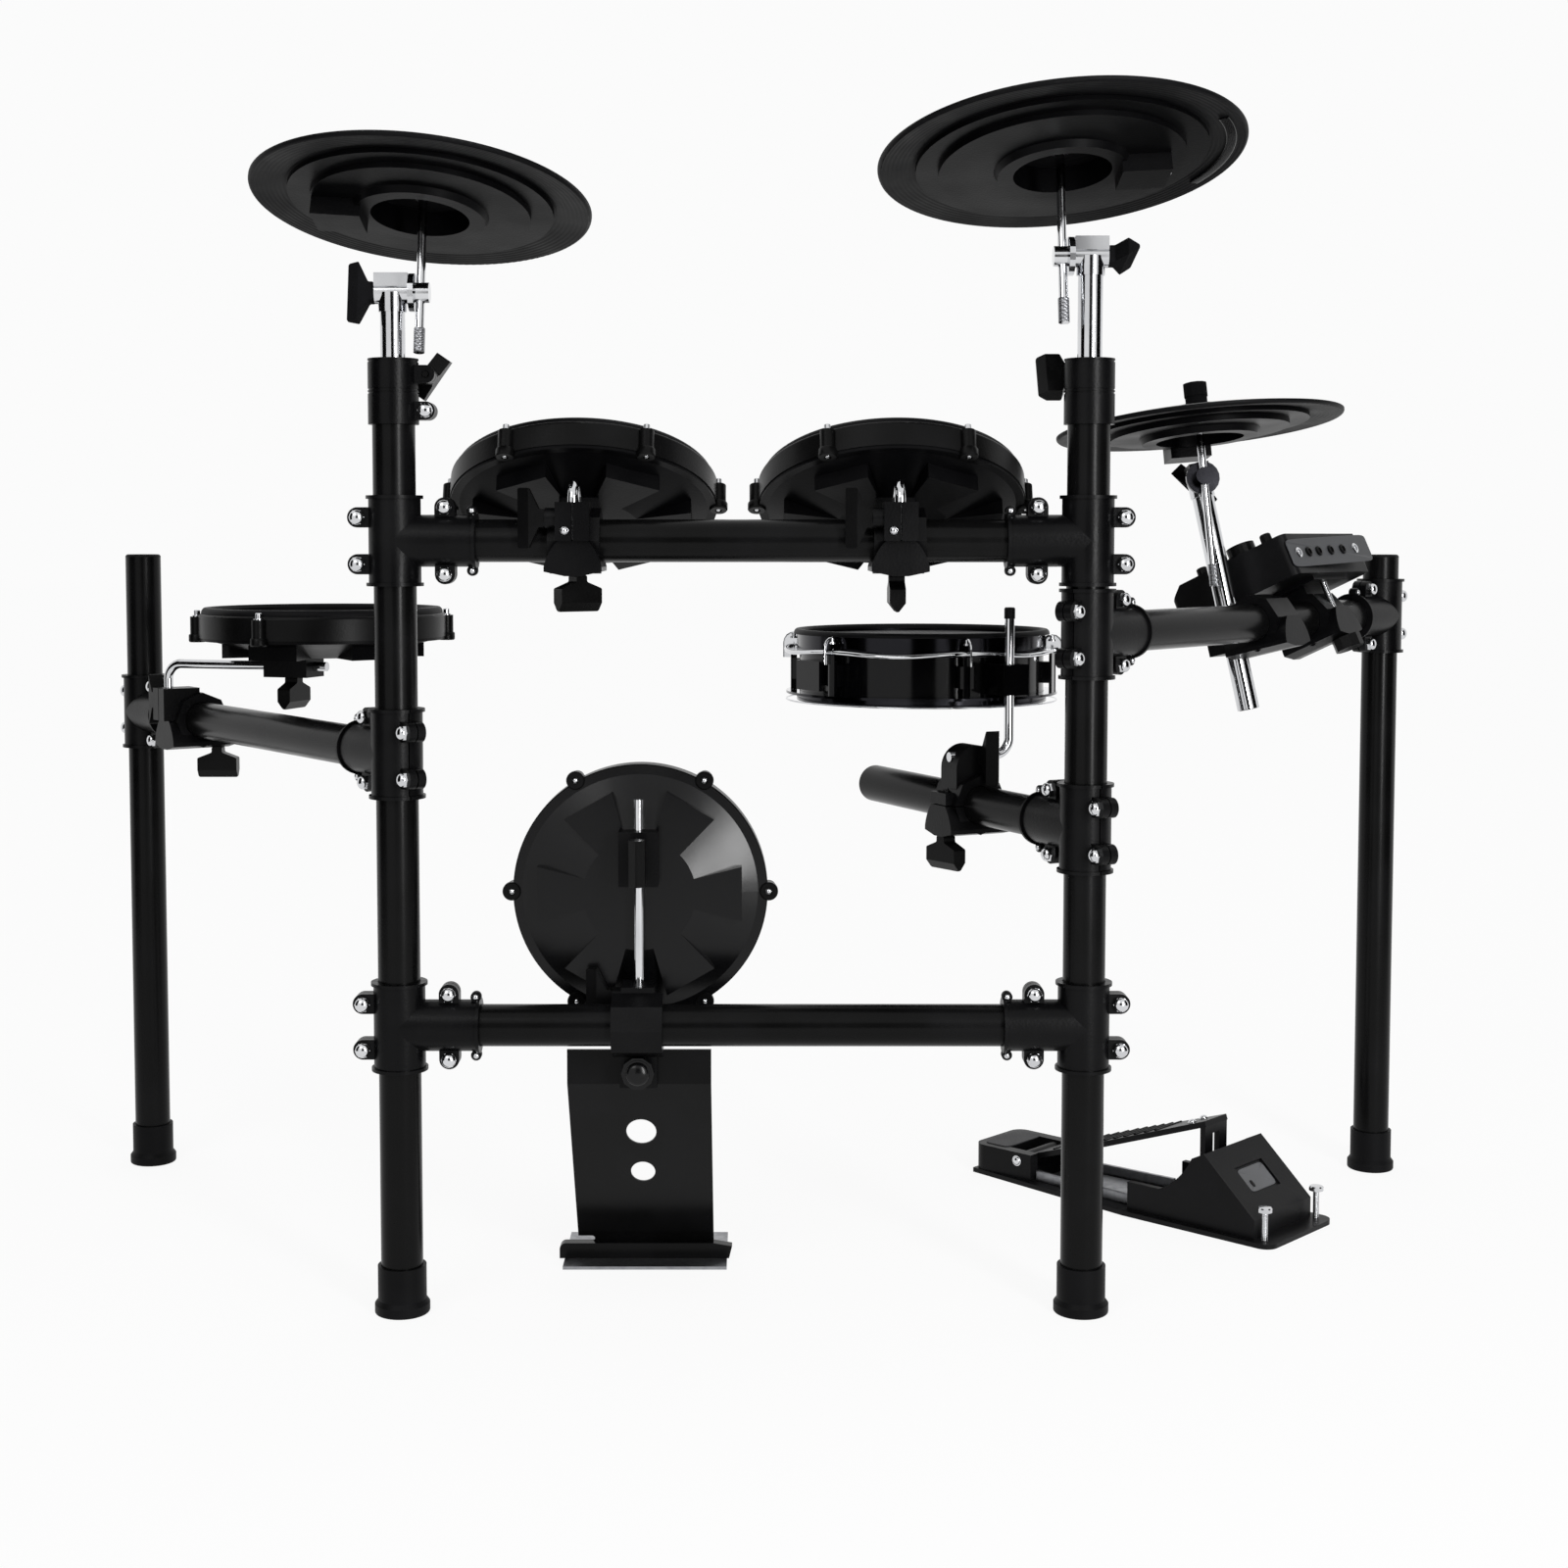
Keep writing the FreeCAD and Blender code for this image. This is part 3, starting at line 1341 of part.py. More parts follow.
def cymbal_rod_shape(name):
    """Round rod through the eye with a knurled grip at its lower end."""
    below = f"{name}_rod_below"
    top = f"{name}_lift + cymbal_skin / 2 + felt_gap + felt_thick + cymbal_nut_height"
    return fuse(
        rod("cymbal_rod_radius", f"{below} + {top}", ("rod_side", "0", f"-{below}")),
        prism(12, "knurl_radius", "knurl_length", ("rod_side", "0", f"-{below}")),
    )


def rod_ring(name, radius, tall, low, sides=0):
    """Ring on the cymbal rod at a height above the hinge axis; sides gives a faceted one."""
    spot = ("rod_side", "0", f"{name}_lift + {low}")
    outside = prism(sides, radius, tall, spot) if sides else rod(radius, tall, spot)
    return cut(outside, rod("cymbal_rod_radius + foot_fit", tall, spot))


def cymbal_cover_shape(name):
    """Domed playing surface with its bell; the rod's hole is at the origin."""
    body = new_body(f"{name}_cover")
    radius = f"{name}_radius"
    top = "cymbal_skin / 2"
    shoulder = f"{top} - bell_height"
    edge = f"{shoulder} - cymbal_bow"
    turned(body, [
        ("cymbal_hole", top),
        ("cymbal_hole", "-cymbal_skin / 2"),
        ("bell_flat - cymbal_skin / 2", "-cymbal_skin / 2"),
        ("bell_radius", f"{shoulder} - cymbal_skin"),
        (f"{radius} - rim_round", f"{edge} - cymbal_skin"),
        (radius, f"{edge} - cymbal_skin + rim_round", "rim_round", 1),
        (radius, edge),
        ("bell_radius", shoulder, f"4 * {radius}", 1),
        ("bell_flat", top, "bell_radius", 1),
    ])
    return body


def cymbal_shell_shape(name):
    """Stepped plastic shell under the cover, with a boss round its opening and its jack box on -X."""
    body = new_body(f"{name}_shell")
    radius = f"{name}_radius"
    outer = f"({radius} - shell_margin)"
    step = f"({radius} - shell_step_margin)"
    root = "cymbal_skin / 2 - bell_height - cymbal_skin - shell_gap"
    slope = f"(cymbal_bow / ({radius} - rim_round - bell_radius))"
    inner_top = f"{root} - {slope} * (shell_inner - bell_radius)"
    outer_top = f"{root} - {slope} * ({outer} - bell_radius)"
    floor = f"{outer_top} - shell_thick - shell_step"
    turned(body, [
        ("shell_inner", inner_top),
        ("shell_inner", f"{floor} - boss_drop"),
        ("boss_radius", f"{floor} - boss_drop"),
        ("boss_radius + boss_drop / 2", floor),
        (step, floor),
        (step, f"{outer_top} - shell_thick"),
        (outer, f"{outer_top} - shell_thick"),
        (outer, outer_top),
    ])
    jack_box = block("jack_box_length", "jack_box_width", "jack_box_drop + shell_step",
                     ("-jack_box_start - jack_box_length", "-jack_box_width / 2", f"{floor} - jack_box_drop"))
    return fuse(body, jack_box)


def build_cymbal(name, pole_length, pole_top, turn, roll, shared):
    """Pole, tilter and cymbal; the pole top's place has the rod's side on +X."""
    pole = tube_shape(f"{name}_pole", pole_length, "pole_radius", "pole_wall")
    stand = [(pole, at(0, 0, -size(pole_length))), (shared["stand_head"], HERE), (shared["stand_cap"], HERE)]
    node(f"{name}_pole", stand, pole_top)
    hinge = pole_top * at(0, 0, size("tilter_rise"), Rotation(X_AXIS, turn))
    skin = "cymbal_skin / 2 + felt_gap"
    cup = rod_ring(name, "eye_radius", "cup_height", f"-({skin}) - felt_thick - cup_height", 6)
    low_felt = rod_ring(name, "felt_radius", "felt_thick", f"-({skin}) - felt_thick")
    high_felt = rod_ring(name, "felt_radius", "felt_thick", skin)
    nut = rod_ring(name, "cymbal_nut_radius", "cymbal_nut_height", f"{skin} + felt_thick", 12)
    shapes = (shared["eye_bolt"], cymbal_rod_shape(name), cup, low_felt, high_felt, nut)
    pieces = [(shape, HERE) for shape in shapes]
    nut_seat = at(-size("tilter_barrel_half + tilter_gap"), 0, 0, ALONG["X"] * spin(NUT_TURNS[name]))
    node(f"{name}_tilter", pieces + [(shared["wing_nut"], nut_seat)], hinge)
    rest = hinge * at(size("rod_side"), 0, size(f"{name}_lift"), Rotation(Y_AXIS, roll))
    node(f"{name}_cymbal", [(cymbal_cover_shape(name), HERE), (cymbal_shell_shape(name), HERE)], rest)


def hihat_clamp_shape():
    """Clamp round the right arm on X with an upright bore for the hi-hat pole behind it."""
    half = "bar_clamp_width / 2"
    wall = "pole_offset + pole_radius"
    depth = f"{wall} + rod_block_wall"
    return cut(
        fuse(
            clamp_ring(),
            jaw_shape(),
            block("bar_clamp_width", depth, "bar_clamp_width", (f"-{half}", "0", f"-{half}")),
        ),
        rod("pole_radius + pole_fit", f"wing_seat + {half}", ("0", "pole_offset", "-wing_seat")),
        tube_bore(),
        rod("bolt_radius + bolt_play", "rod_block_wall", ("0", wall, "0"), "Y"),
    )


def build_cymbals(shared):
    """Crash and ride on the front uprights, hi-hat on a leaning pole from the right arm."""
    half = size("rack_span") / 2
    crash_top = at(-half, 0, size("crash_pole_top"))
    ride_top = at(half, 0, size("ride_pole_top"), spin(180))
    build_cymbal("crash", "pole_length", crash_top, -size("crash_tilt"), size("crash_roll"), shared)
    build_cymbal("ride", "pole_length", ride_top, size("ride_tilt"), size("ride_roll"), shared)
    lean = Rotation(X_AXIS, -size("hihat_lean"))
    clamp_spot = arm_point("right", "arm_reach - hihat_clamp_back", "right_arm_z") * Placement(Vector(), lean)
    wing = wing_bolt_shape("rod_block_wall - pole_fit")
    wing_spot = at(0, size("pole_offset + pole_radius + rod_block_wall"), 0, Rotation(X_AXIS, 90))
    node("hihat_clamp", [(hihat_clamp_shape(), HERE), (wing, wing_spot)], clamp_spot)
    facing = spin(size("right_arm_angle") - 180)
    hihat_top = clamp_spot * at(0, size("pole_offset"), size("hihat_pole_length - hihat_pole_drop"), facing)
    build_cymbal("hihat", "hihat_pole_length", hihat_top, -size("hihat_rod_turn"), size("hihat_nod"), shared)


# Sound module
def module_case_shape():
    """Low wedge-nosed case with a recess for the keypad in its top panel."""
    body = new_body("module_case")
    back = "module_shift - module_depth / 2"
    front = "module_shift + module_depth / 2"
    top = "module_lift + module_height"
    sketch = draw(sketch_on(body, "YZ_Plane"), [
        (back, "module_lift"),
        (front, "module_lift"),
        (front, "module_lift + module_nose"),
        (f"{front} - module_nose_depth", top),
        (back, top),
    ])
    case = pad(body, sketch, "module_width", both_ways=True)
    round_edges(body, case, Z_AXIS, "module_corner")
    well = draw(sketch_on(body, "XY_Plane", top), [
        ("keypad_x - keypad_length / 2 - keypad_play", "keypad_y - keypad_depth / 2 - keypad_play"),
        ("keypad_x + keypad_length / 2 + keypad_play", "keypad_y - keypad_depth / 2 - keypad_play"),
        ("keypad_x + keypad_length / 2 + keypad_play", "keypad_y + keypad_depth / 2 + keypad_play"),
        ("keypad_x - keypad_length / 2 - keypad_play", "keypad_y + keypad_depth / 2 + keypad_play"),
    ])
    pocket(body, well, "keypad_recess")
    return body


def keypad_shape():
    """Rubber keypad sheet with two rows of keys; its sheet rests at z = 0."""
    corner = ("-keypad_length / 2", "-keypad_depth / 2", "0")
    sheet_block = block("keypad_length", "keypad_depth", "keypad_sheet", corner)
    keys = []
    for row in (-1, 1):
        for column in range(int(size("key_columns"))):
            across = f"({column} + 0.5) * keypad_length / key_columns - keypad_length / 2 - key_size / 2"
            keys.append(block("key_size", "key_size", "keypad_sheet + key_height",
                              (across, f"{row} * keypad_depth / 4 - key_size / 2", "0")))
    return fuse(sheet_block, *keys)


def module_bracket_shape():
    """Clamp round the right arm with the plate that carries the module and takes its knob's long screw."""
    reach = "wing_offset + rod_boss_radius"
    return cut(
        fuse(
            clamp_ring(),
            jaw_shape("jaw_back", "jaw_front"),
            block("bar_clamp_width", "rod_block_width", "module_lift",
                  ("-bar_clamp_width / 2", "-rod_block_width / 2", "0")),
            block("bracket_length", f"{reach} + bracket_depth", "bracket_thick",
                  ("-bracket_length / 2", f"-({reach})", "module_lift - bracket_thick")),
        ),
        tube_bore(),
        rod("bolt_radius + bolt_play", "wing_seat + module_lift", ("0", "-wing_offset", "-wing_seat")),
    )


def build_module():
    """Sound module on the right arm, tipped towards the drummer with its clamp."""
    tip = Rotation(X_AXIS, -size("module_tilt"))
    place = arm_point("right", "arm_reach - module_back", "right_arm_z") * Placement(Vector(), tip)
    knob = knob_shape("wing_seat + module_lift - pad_gap")
    knob_spot = at(0, -size("wing_offset"), -size("wing_seat"))
    node("module_bracket", [(module_bracket_shape(), HERE), (knob, knob_spot)], place)
    node("module_case", [(module_case_shape(), HERE)], place)
    panel = size("module_lift + module_height")
    dial_spot = at(size("dial_x"), size("module_shift + dial_y"), panel + size("pad_gap"))
    dial = fuse(prism(20, "dial_radius", "dial_height"), rod("dial_radius + dial_skirt", "dial_skirt"))
    node("module_dial", [(dial, HERE)], place * dial_spot)
    keypad_spot = at(size("keypad_x"), size("keypad_y"), panel - size("keypad_sheet"))
    node("module_keypad", [(keypad_shape(), HERE)], place * keypad_spot)


# Hi-hat pedal
def pedal_base_shape():
    """Floor plate that widens to the toe, with a three-sided housing for the strap."""
    body = new_body("pedal_base")
    heel, toe = "pedal_heel_width / 2", "pedal_toe_width / 2"
    plate = draw(sketch_on(body, "XY_Plane"), [
        (f"-{heel}", "0"),
        (heel, "0"),
        (toe, "housing_start"),
        (toe, "pedal_length - toe_corner"),
        (f"{toe} - toe_corner", "pedal_length", "toe_corner", 1),
        (f"-{toe} + toe_corner", "pedal_length"),
        (f"-{toe}", "pedal_length - toe_corner", "toe_corner", 1),
        (f"-{toe}", "housing_start"),
    ])
    pad(body, plate, "pedal_plate")
    side = draw(sketch_on(body, "YZ_Plane"), [
        ("housing_start", "0"),
        ("housing_front", "0"),
        ("housing_front", "housing_toe"),
        ("housing_peak + housing_wall", "housing_height"),
        ("housing_peak - housing_wall", "housing_height - housing_wall"),
        ("housing_peak - housing_height + housing_side", "housing_side", "housing_height", -1),
        ("housing_start", "housing_side"),
    ])
    pad(body, side, "housing_width", both_ways=True)
    well = draw(sketch_on(body, "XY_Plane", "pedal_plate"), [
        ("-housing_width / 2 + housing_wall", "housing_start - housing_wall"),
        ("housing_width / 2 - housing_wall", "housing_start - housing_wall"),
        ("housing_width / 2 - housing_wall", "housing_peak"),
        ("-housing_width / 2 + housing_wall", "housing_peak"),
    ])
    pocket(body, well, "housing_height", back=True)
    return cut(body, pedal_window())


def pedal_window():
    """Shallow recess in the middle of the housing's sloping front panel."""
    run, rise = size("housing_peak + housing_wall - housing_front"), size("housing_height - housing_toe")
    lean = math.degrees(math.atan2(rise, run))
    low = (
        "-window_width / 2",
        f"(housing_front + housing_peak + housing_wall - window_length * cos({lean})) / 2",
        f"(housing_height + housing_toe - window_length * sin({lean})) / 2",
    )
    sides = {"Length": "window_width", "Width": "window_length", "Height": "window_depth"}
    return primitive("Part::Box", sides, low, Rotation(X_AXIS, lean))


def heel_block_shape():
    """Rounded heel block, slotted for the footboard and bored for the hinge pin."""
    body = new_body("heel_block")
    half = "pedal_heel_width / 2"
    outline = draw(sketch_on(body, "XY_Plane", "pedal_plate"), [
        (f"-{half}", "heel_corner"),
        (f"-{half} + heel_corner", "0", "heel_corner", 1),
        (f"{half} - heel_corner", "0"),
        (half, "heel_corner", "heel_corner", 1),
        (half, "heel_length"),
        (f"-{half}", "heel_length"),
    ])
    pad(body, outline, "heel_height")
    slot_corner = ("-heel_slot / 2", "heel_slot_start", "pedal_plate")
    pin_end = (f"-{half}", "pedal_pin_y", "pedal_pin_z")
    return cut(
        body,
        block("heel_slot", "heel_length", "heel_height", slot_corner),
        rod("pedal_pin_radius + pedal_pin_fit", "pedal_heel_width", pin_end, "X"),
    )


def footboard_shape():
    """Tapered board from the hinge pin on X to the toe, with a slotted strap at its end."""
    body = new_body("footboard")
    heel, toe = "footboard_heel_width / 2", "footboard_width / 2"
    end = "strap_width / 2"
    board = draw(sketch_on(body, "XY_Plane", "-footboard_thick / 2"), [
        (f"-{heel}", "-footboard_thick"),
        (heel, "-footboard_thick"),
        (heel, "heel_length - pedal_pin_y"),
        (toe, "footboard_length / 2"),
        (end, "footboard_length"),
        (f"-{end}", "footboard_length"),
        (f"-{toe}", "footboard_length / 2"),
        (f"-{heel}", "heel_length - pedal_pin_y"),
    ])
    pad(body, board, "footboard_thick")
    knuckle = rod("2 * pedal_pin_radius", "footboard_heel_width", (f"-{heel}", "0", "0"), "X")
    upright = Rotation(X_AXIS, 180 - size("footboard_rest"))
    strap_sides = {"Length": "strap_width", "Width": "strap_thick", "Height": "strap_length"}
    strap = primitive("Part::Box", strap_sides, (f"-{end}", "footboard_length", "0"), upright)
    slot_sides = dict(strap_sides, Length="strap_slot", Height="strap_length - 4 * strap_thick")
    slot_corner = (
        "-strap_slot / 2",
        "footboard_length - 2 * strap_thick * sin(footboard_rest)",
        "-2 * strap_thick * cos(footboard_rest)",
    )
    slot = primitive("Part::Box", slot_sides, slot_corner, upright)
    return cut(
        fuse(body, knuckle, strap),
        rod("pedal_pin_radius + rod_fit", "footboard_heel_width", (f"-{heel}", "0", "0"), "X"),
        slot,
    )


def build_pedal():
    """Free-standing hi-hat pedal on the floor, toe outwards."""
    turn = spin(-90 - size("pedal_angle"))
    toe = at(size("pedal_toe_x"), size("pedal_toe_y"), 0, turn)
    place = toe * at(0, -size("pedal_length"), 0)
    screw = fuse(
        rod("level_screw_radius", "level_screw_height", ("0", "0", "pedal_plate")),
        rod("2 * level_screw_radius", "level_screw_radius", ("0", "0", "pedal_plate + level_screw_height")),
    )
    inset = size("pedal_toe_width / 2 - toe_corner")
    across = size("pedal_length - toe_corner")
    pin_end = ("-pedal_heel_width / 2", "pedal_pin_y", "pedal_pin_z")
    hinge = rod("pedal_pin_radius", "pedal_heel_width", pin_end, "X")
    pieces = [(pedal_base_shape(), HERE), (heel_block_shape(), HERE), (hinge, HERE)]
    pieces += [(screw, at(-inset, across)), (screw, at(inset, across))]
    node("pedal_base", pieces, place)
    pin = at(0, size("pedal_pin_y"), size("pedal_pin_z"), Rotation(X_AXIS, size("footboard_rest")))
    node("pedal_footboard", [(footboard_shape(), HERE)], place * pin)


# Whole kit
def shared_shapes():
    """Shapes that several sub-parts are copied from."""
    return {
        "tee": tee_shape(),
        "bolt": bolt_shape(),
        "foot": foot_shape(),
        "plug": plug_shape(),
        "tom_clamp": tom_clamp_shape(),
        "clamp_wing": wing_bolt_shape("wing_seat + wing_lug + bolt_tail"),
        "rod_wing": wing_bolt_shape("bar_clamp_width / 2 + rod_slot - rod_radius - rod_fit", "nut"),
        "holder": holder_shape(),
        "holder_wing": wing_bolt_shape("holder_wall - rod_radius - rod_fit"),
        "trigger": trigger_shape(),
        "stand_head": stand_head_shape(),
        "eye_bolt": eye_bolt_shape(),
        "wing_nut": wing_shape("nut"),
        "stand_cap": stand_cap_shape(),
    }


def check_document():
    """Stop if any object failed or any sub-part has no sound shape."""
    failed = [thing.Label for thing in doc.Objects if {"Invalid", "Error"} & set(thing.State)]
    for whole in nodes:
        if whole.Shape.isNull() or not whole.Shape.isValid() or not whole.Shape.Solids:
            failed.append(whole.Label)
    if failed:
        raise RuntimeError("Not sound: " + ", ".join(failed))


def centre_on_floor():
    """Move every sub-part so that the origin is under the middle of the kit's box."""
    box = FreeCAD.BoundBox()
    for whole in nodes:
        box.add(whole.Shape.BoundBox)
    shift = Vector(-box.Center.x, -box.Center.y, -box.ZMin)
    for whole in nodes:
        whole.Placement = Placement(whole.Placement.Base + shift, whole.Placement.Rotation)


def main():
    """Build every sub-part, check the document and write the files."""
    fill_sheet()
    shared = shared_shapes()
    build_rack(shared)
    build_collars(shared)
    build_wing("left", shared)
    build_wing("right", shared)
    build_rod_clamps(shared)
    tom = pad_parts("tom", "pad_radius", shared)
    build_toms(tom)
    build_floor_tom(tom, shared)
    build_kick(pad_parts("kick", "kick_radius", shared))
    build_snare()
    build_cymbals(shared)
    build_module()
    build_pedal()
    doc.recompute()
    check_document()
    centre_on_floor()
    doc.recompute()
    check_document()
    os.makedirs("parts", exist_ok=True)
    for whole in nodes:
        whole.Shape.exportStep(f"parts/{whole.Label}.step")
    print(f"{len(nodes)} sub-parts written")


main()
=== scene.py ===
"""Looks of an electronic drum kit: finishes, small fittings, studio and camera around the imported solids."""
import json
import logging
import math
from dataclasses import dataclass, replace
from enum import Enum

import bpy
import numpy as np
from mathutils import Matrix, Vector


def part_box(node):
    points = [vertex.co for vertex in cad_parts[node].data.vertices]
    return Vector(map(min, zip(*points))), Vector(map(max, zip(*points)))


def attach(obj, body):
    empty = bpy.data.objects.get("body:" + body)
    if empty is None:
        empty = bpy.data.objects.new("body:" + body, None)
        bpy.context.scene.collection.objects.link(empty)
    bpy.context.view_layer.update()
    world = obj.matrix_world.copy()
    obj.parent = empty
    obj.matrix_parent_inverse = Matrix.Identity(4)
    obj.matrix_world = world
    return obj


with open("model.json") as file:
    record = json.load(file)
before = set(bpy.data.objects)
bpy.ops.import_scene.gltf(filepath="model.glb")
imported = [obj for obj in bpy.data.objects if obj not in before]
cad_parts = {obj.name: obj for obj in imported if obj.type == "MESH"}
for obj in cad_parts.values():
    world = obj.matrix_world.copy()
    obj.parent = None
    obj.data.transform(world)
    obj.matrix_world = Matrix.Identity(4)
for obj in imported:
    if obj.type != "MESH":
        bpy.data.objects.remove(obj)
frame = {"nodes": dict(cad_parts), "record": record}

MM = 0.001
TAU = 2.0 * math.pi
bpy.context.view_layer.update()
UP = np.array([0.0, 0.0, 1.0])
TO_AUDIENCE = np.array([0.0, -1.0, 0.0])
ANY_SIDE = np.array([0.31, 0.17, 0.94])
# Points nearer than this are one point, in metres
WELD = 2e-5
# Edges sharper than this stay sharp, in degrees
SHARP_DEG = 38.0
# Signs of the two sides of a symmetrical pair
SIDES = (-1.0, 1.0)
Pair = tuple[float, float]
Triple = tuple[float, float, float]
# Turned profile: (radius, height) points in millimetres, from the lower pole round to the upper one
Profile = tuple[Pair, ...]
log = logging.getLogger("drum_kit")


# Colours and shader nodes
def linear(hex_colour: str) -> tuple[float, float, float, float]:
    """Turn an sRGB hex colour into linear RGBA.

    Args:
        hex_colour: Six hex digits, such as "1a1a1c".

    Returns:
        Linear red, green, blue and an alpha of 1.
    """
    parts = np.array([int(hex_colour[i:i + 2], 16) for i in (0, 2, 4)]) / 255.0
    values = np.where(parts <= 0.04045, parts / 12.92, ((parts + 0.055) / 1.055) ** 2.4)
    return (*values.tolist(), 1.0)


def add_node(tree: bpy.types.NodeTree, kind: str, settings: dict, links: dict) -> bpy.types.Node:
    """Add one shader node.

    Args:
        tree: Node tree that gets the node.
        kind: Node type, without the leading ShaderNode.
        settings: Attribute names, or socket names after "=", to their values.
        links: Input socket name or number to the output socket that feeds it.

    Returns:
        The new node.
    """
    node = tree.nodes.new("ShaderNode" + kind)
    for name, value in settings.items():
        if name.startswith("="):
            node.inputs[name[1:]].default_value = value
        else:
            setattr(node, name, value)
    for name, output in links.items():
        tree.links.new(output, node.inputs[name])
    return node


class Grain(Enum):
    """How a surface was made, which decides the small relief it carries."""

    POWDER = "sprayed and baked, a soft orange peel"
    MOULDED = "spark-eroded mould, tiny even pits"
    RUBBER = "pressed rubber, dull and slightly blotched"
    POLISHED = "buffed plating or gloss, nearly flat"
    KNURLED = "rolled cross-cut grip"
    FELTED = "pressed wool, fuzzy"
    WOVEN = "threads or ribs that cross each other"
    RINGED = "fine turned rings round a centre"


# Band directions of the patterns that are made of two crossing waves
CROSSED = {Grain.KNURLED: ("Z", "DIAGONAL"), Grain.WOVEN: ("X", "Y")}
# A wave texture has its period at this part of a full turn per unit of scale
WAVE_PART = 20.0
# Octaves of the slow noise, of wool's fuzz and of the other fine noises
BLOTCH_DETAIL = 4.0
FUZZ_DETAIL = 6.0
GRAIN_DETAIL = 2.0
# Shares of the slow noise where the second tone starts and is whole, and of the least and most roughness
TONE_STOPS = (0.42, 0.74)
SHINE_STOPS = (0.3, 0.7)


@dataclass(frozen=True)
class Finish:
    """One real material: its two tones, its shine and the size of its grain.

    Attributes:
        name: Common name of the material.
        tone: Main colour as sRGB hex.
        second_tone: Colour of the blotches or wear.
        grain: How the surface was made.
        grain_mm: Width of one grain, pit, thread or ripple.
        relief_mm: Height of that relief.
        roughness: Lowest and highest roughness over the surface.
        metallic: 1 for bare metal.
        specular: Level of the plain reflection; 0.5 is a clear gloss.
        blotch_mm: Width of the slow change between the two tones.
        centre: Middle of a ringed pattern, in metres.
    """

    name: str
    tone: str
    second_tone: str
    grain: Grain
    grain_mm: float
    relief_mm: float
    roughness: Pair
    metallic: float = 0.0
    specular: float = 0.5
    blotch_mm: float = 60.0
    centre: Triple = (0.0, 0.0, 0.0)

    def material(self) -> bpy.types.Material:
        """Build the material once and return it."""
        known = bpy.data.materials.get(self.name)
        return known if known else self._build()

    def _relief(self, tree: bpy.types.NodeTree, place: bpy.types.NodeSocket) -> bpy.types.NodeSocket:
        """Add the pattern that stands for the surface's relief.

        Args:
            tree: Node tree of the material.
            place: Object coordinates in metres, from the pattern's centre.

        Returns:
            Height output of the pattern, from 0 to 1.
        """
        per_metre = 1.0 / (self.grain_mm * MM)
        wave = per_metre * TAU / WAVE_PART
        at = {"Vector": place}
        if self.grain is Grain.MOULDED:
            return add_node(tree, "TexVoronoi", {"=Scale": per_metre}, at).outputs["Distance"]
        if self.grain is Grain.RINGED:
            settings = {"wave_type": "RINGS", "rings_direction": "SPHERICAL", "=Scale": wave}
            return add_node(tree, "TexWave", settings, at).outputs["Fac"]
        if self.grain in CROSSED:
            waves = [
                add_node(tree, "TexWave", {"bands_direction": way, "=Scale": wave}, at).outputs["Fac"]
                for way in CROSSED[self.grain]
            ]
            return add_node(tree, "Math", {"operation": "MULTIPLY"}, dict(enumerate(waves))).outputs["Value"]
        detail = FUZZ_DETAIL if self.grain is Grain.FELTED else GRAIN_DETAIL
        return add_node(tree, "TexNoise", {"=Scale": per_metre, "=Detail": detail}, at).outputs["Fac"]

    def _build(self) -> bpy.types.Material:
        """Lay out the nodes: blotches mix the tones and the shine, grain gives the bump.

        Returns:
            The finished material.
        """
        material = bpy.data.materials.new(self.name)
        material.use_nodes = True
        tree = material.node_tree
        shader = tree.nodes["Principled BSDF"]
        raw = add_node(tree, "TexCoord", {}, {}).outputs["Object"]
        shift = tuple(-value for value in self.centre)
        place = add_node(tree, "Mapping", {"=Location": shift}, {"Vector": raw}).outputs["Vector"]
        slow = {"=Scale": 1.0 / (self.blotch_mm * MM), "=Detail": BLOTCH_DETAIL}
        blotch = add_node(tree, "TexNoise", slow, {"Vector": place}).outputs["Fac"]
        colour = add_node(tree, "ValToRGB", {}, {"Fac": blotch})
        tones = (self.tone, self.second_tone)
        for element, tone, stop in zip(colour.color_ramp.elements, tones, TONE_STOPS):
            element.color = linear(tone)
            element.position = stop
        relief = self._relief(tree, place)
        limits = zip(("=From Min", "=From Max", "=To Min", "=To Max"), (*SHINE_STOPS, *self.roughness))
        shine = add_node(tree, "MapRange", dict(limits), {"Value": blotch})
        height = {"=Strength": 1.0, "=Distance": self.relief_mm * MM}
        bump = add_node(tree, "Bump", height, {"Height": relief})
        tree.links.new(colour.outputs["Color"], shader.inputs["Base Color"])
        tree.links.new(shine.outputs["Result"], shader.inputs["Roughness"])
        tree.links.new(bump.outputs["Normal"], shader.inputs["Normal"])
        shader.inputs["Metallic"].default_value = self.metallic
        shader.inputs["Specular IOR Level"].default_value = self.specular
        return material


# The finest grains are under a millimetre; here they are drawn two to five times as coarse, so that they show
# Powder coat on the rack pipe: satin black, with one soft, slightly rippled streak of light along each tube
POWDER_COAT = Finish("black_powder_coat", "090909", "0e0e0f", Grain.POWDER, 3.0, 0.03, (0.2, 0.28),
                     specular=0.1)
# Glass-filled nylon of the clamps: as black as the tubes, duller, with an even moulded grain
NYLON = Finish("black_glass_filled_nylon", "080809", "0e0e0f", Grain.MOULDED, 2.4, 0.06, (0.26, 0.38),
               specular=0.1)
# ABS of hoops, grips and shells: deep black with an even spark-eroded texture
ABS = Finish("black_moulded_abs", "070707", "0d0d0e", Grain.MOULDED, 2.2, 0.05, (0.26, 0.38), specular=0.1)
# Gloss ABS of the kick pad's bowl: one broad bright reflection on a raised sector
GLOSS_ABS = Finish("black_gloss_abs", "060607", "0a0a0b", Grain.POLISHED, 6.0, 0.02, (0.18, 0.26),
                   specular=0.24)
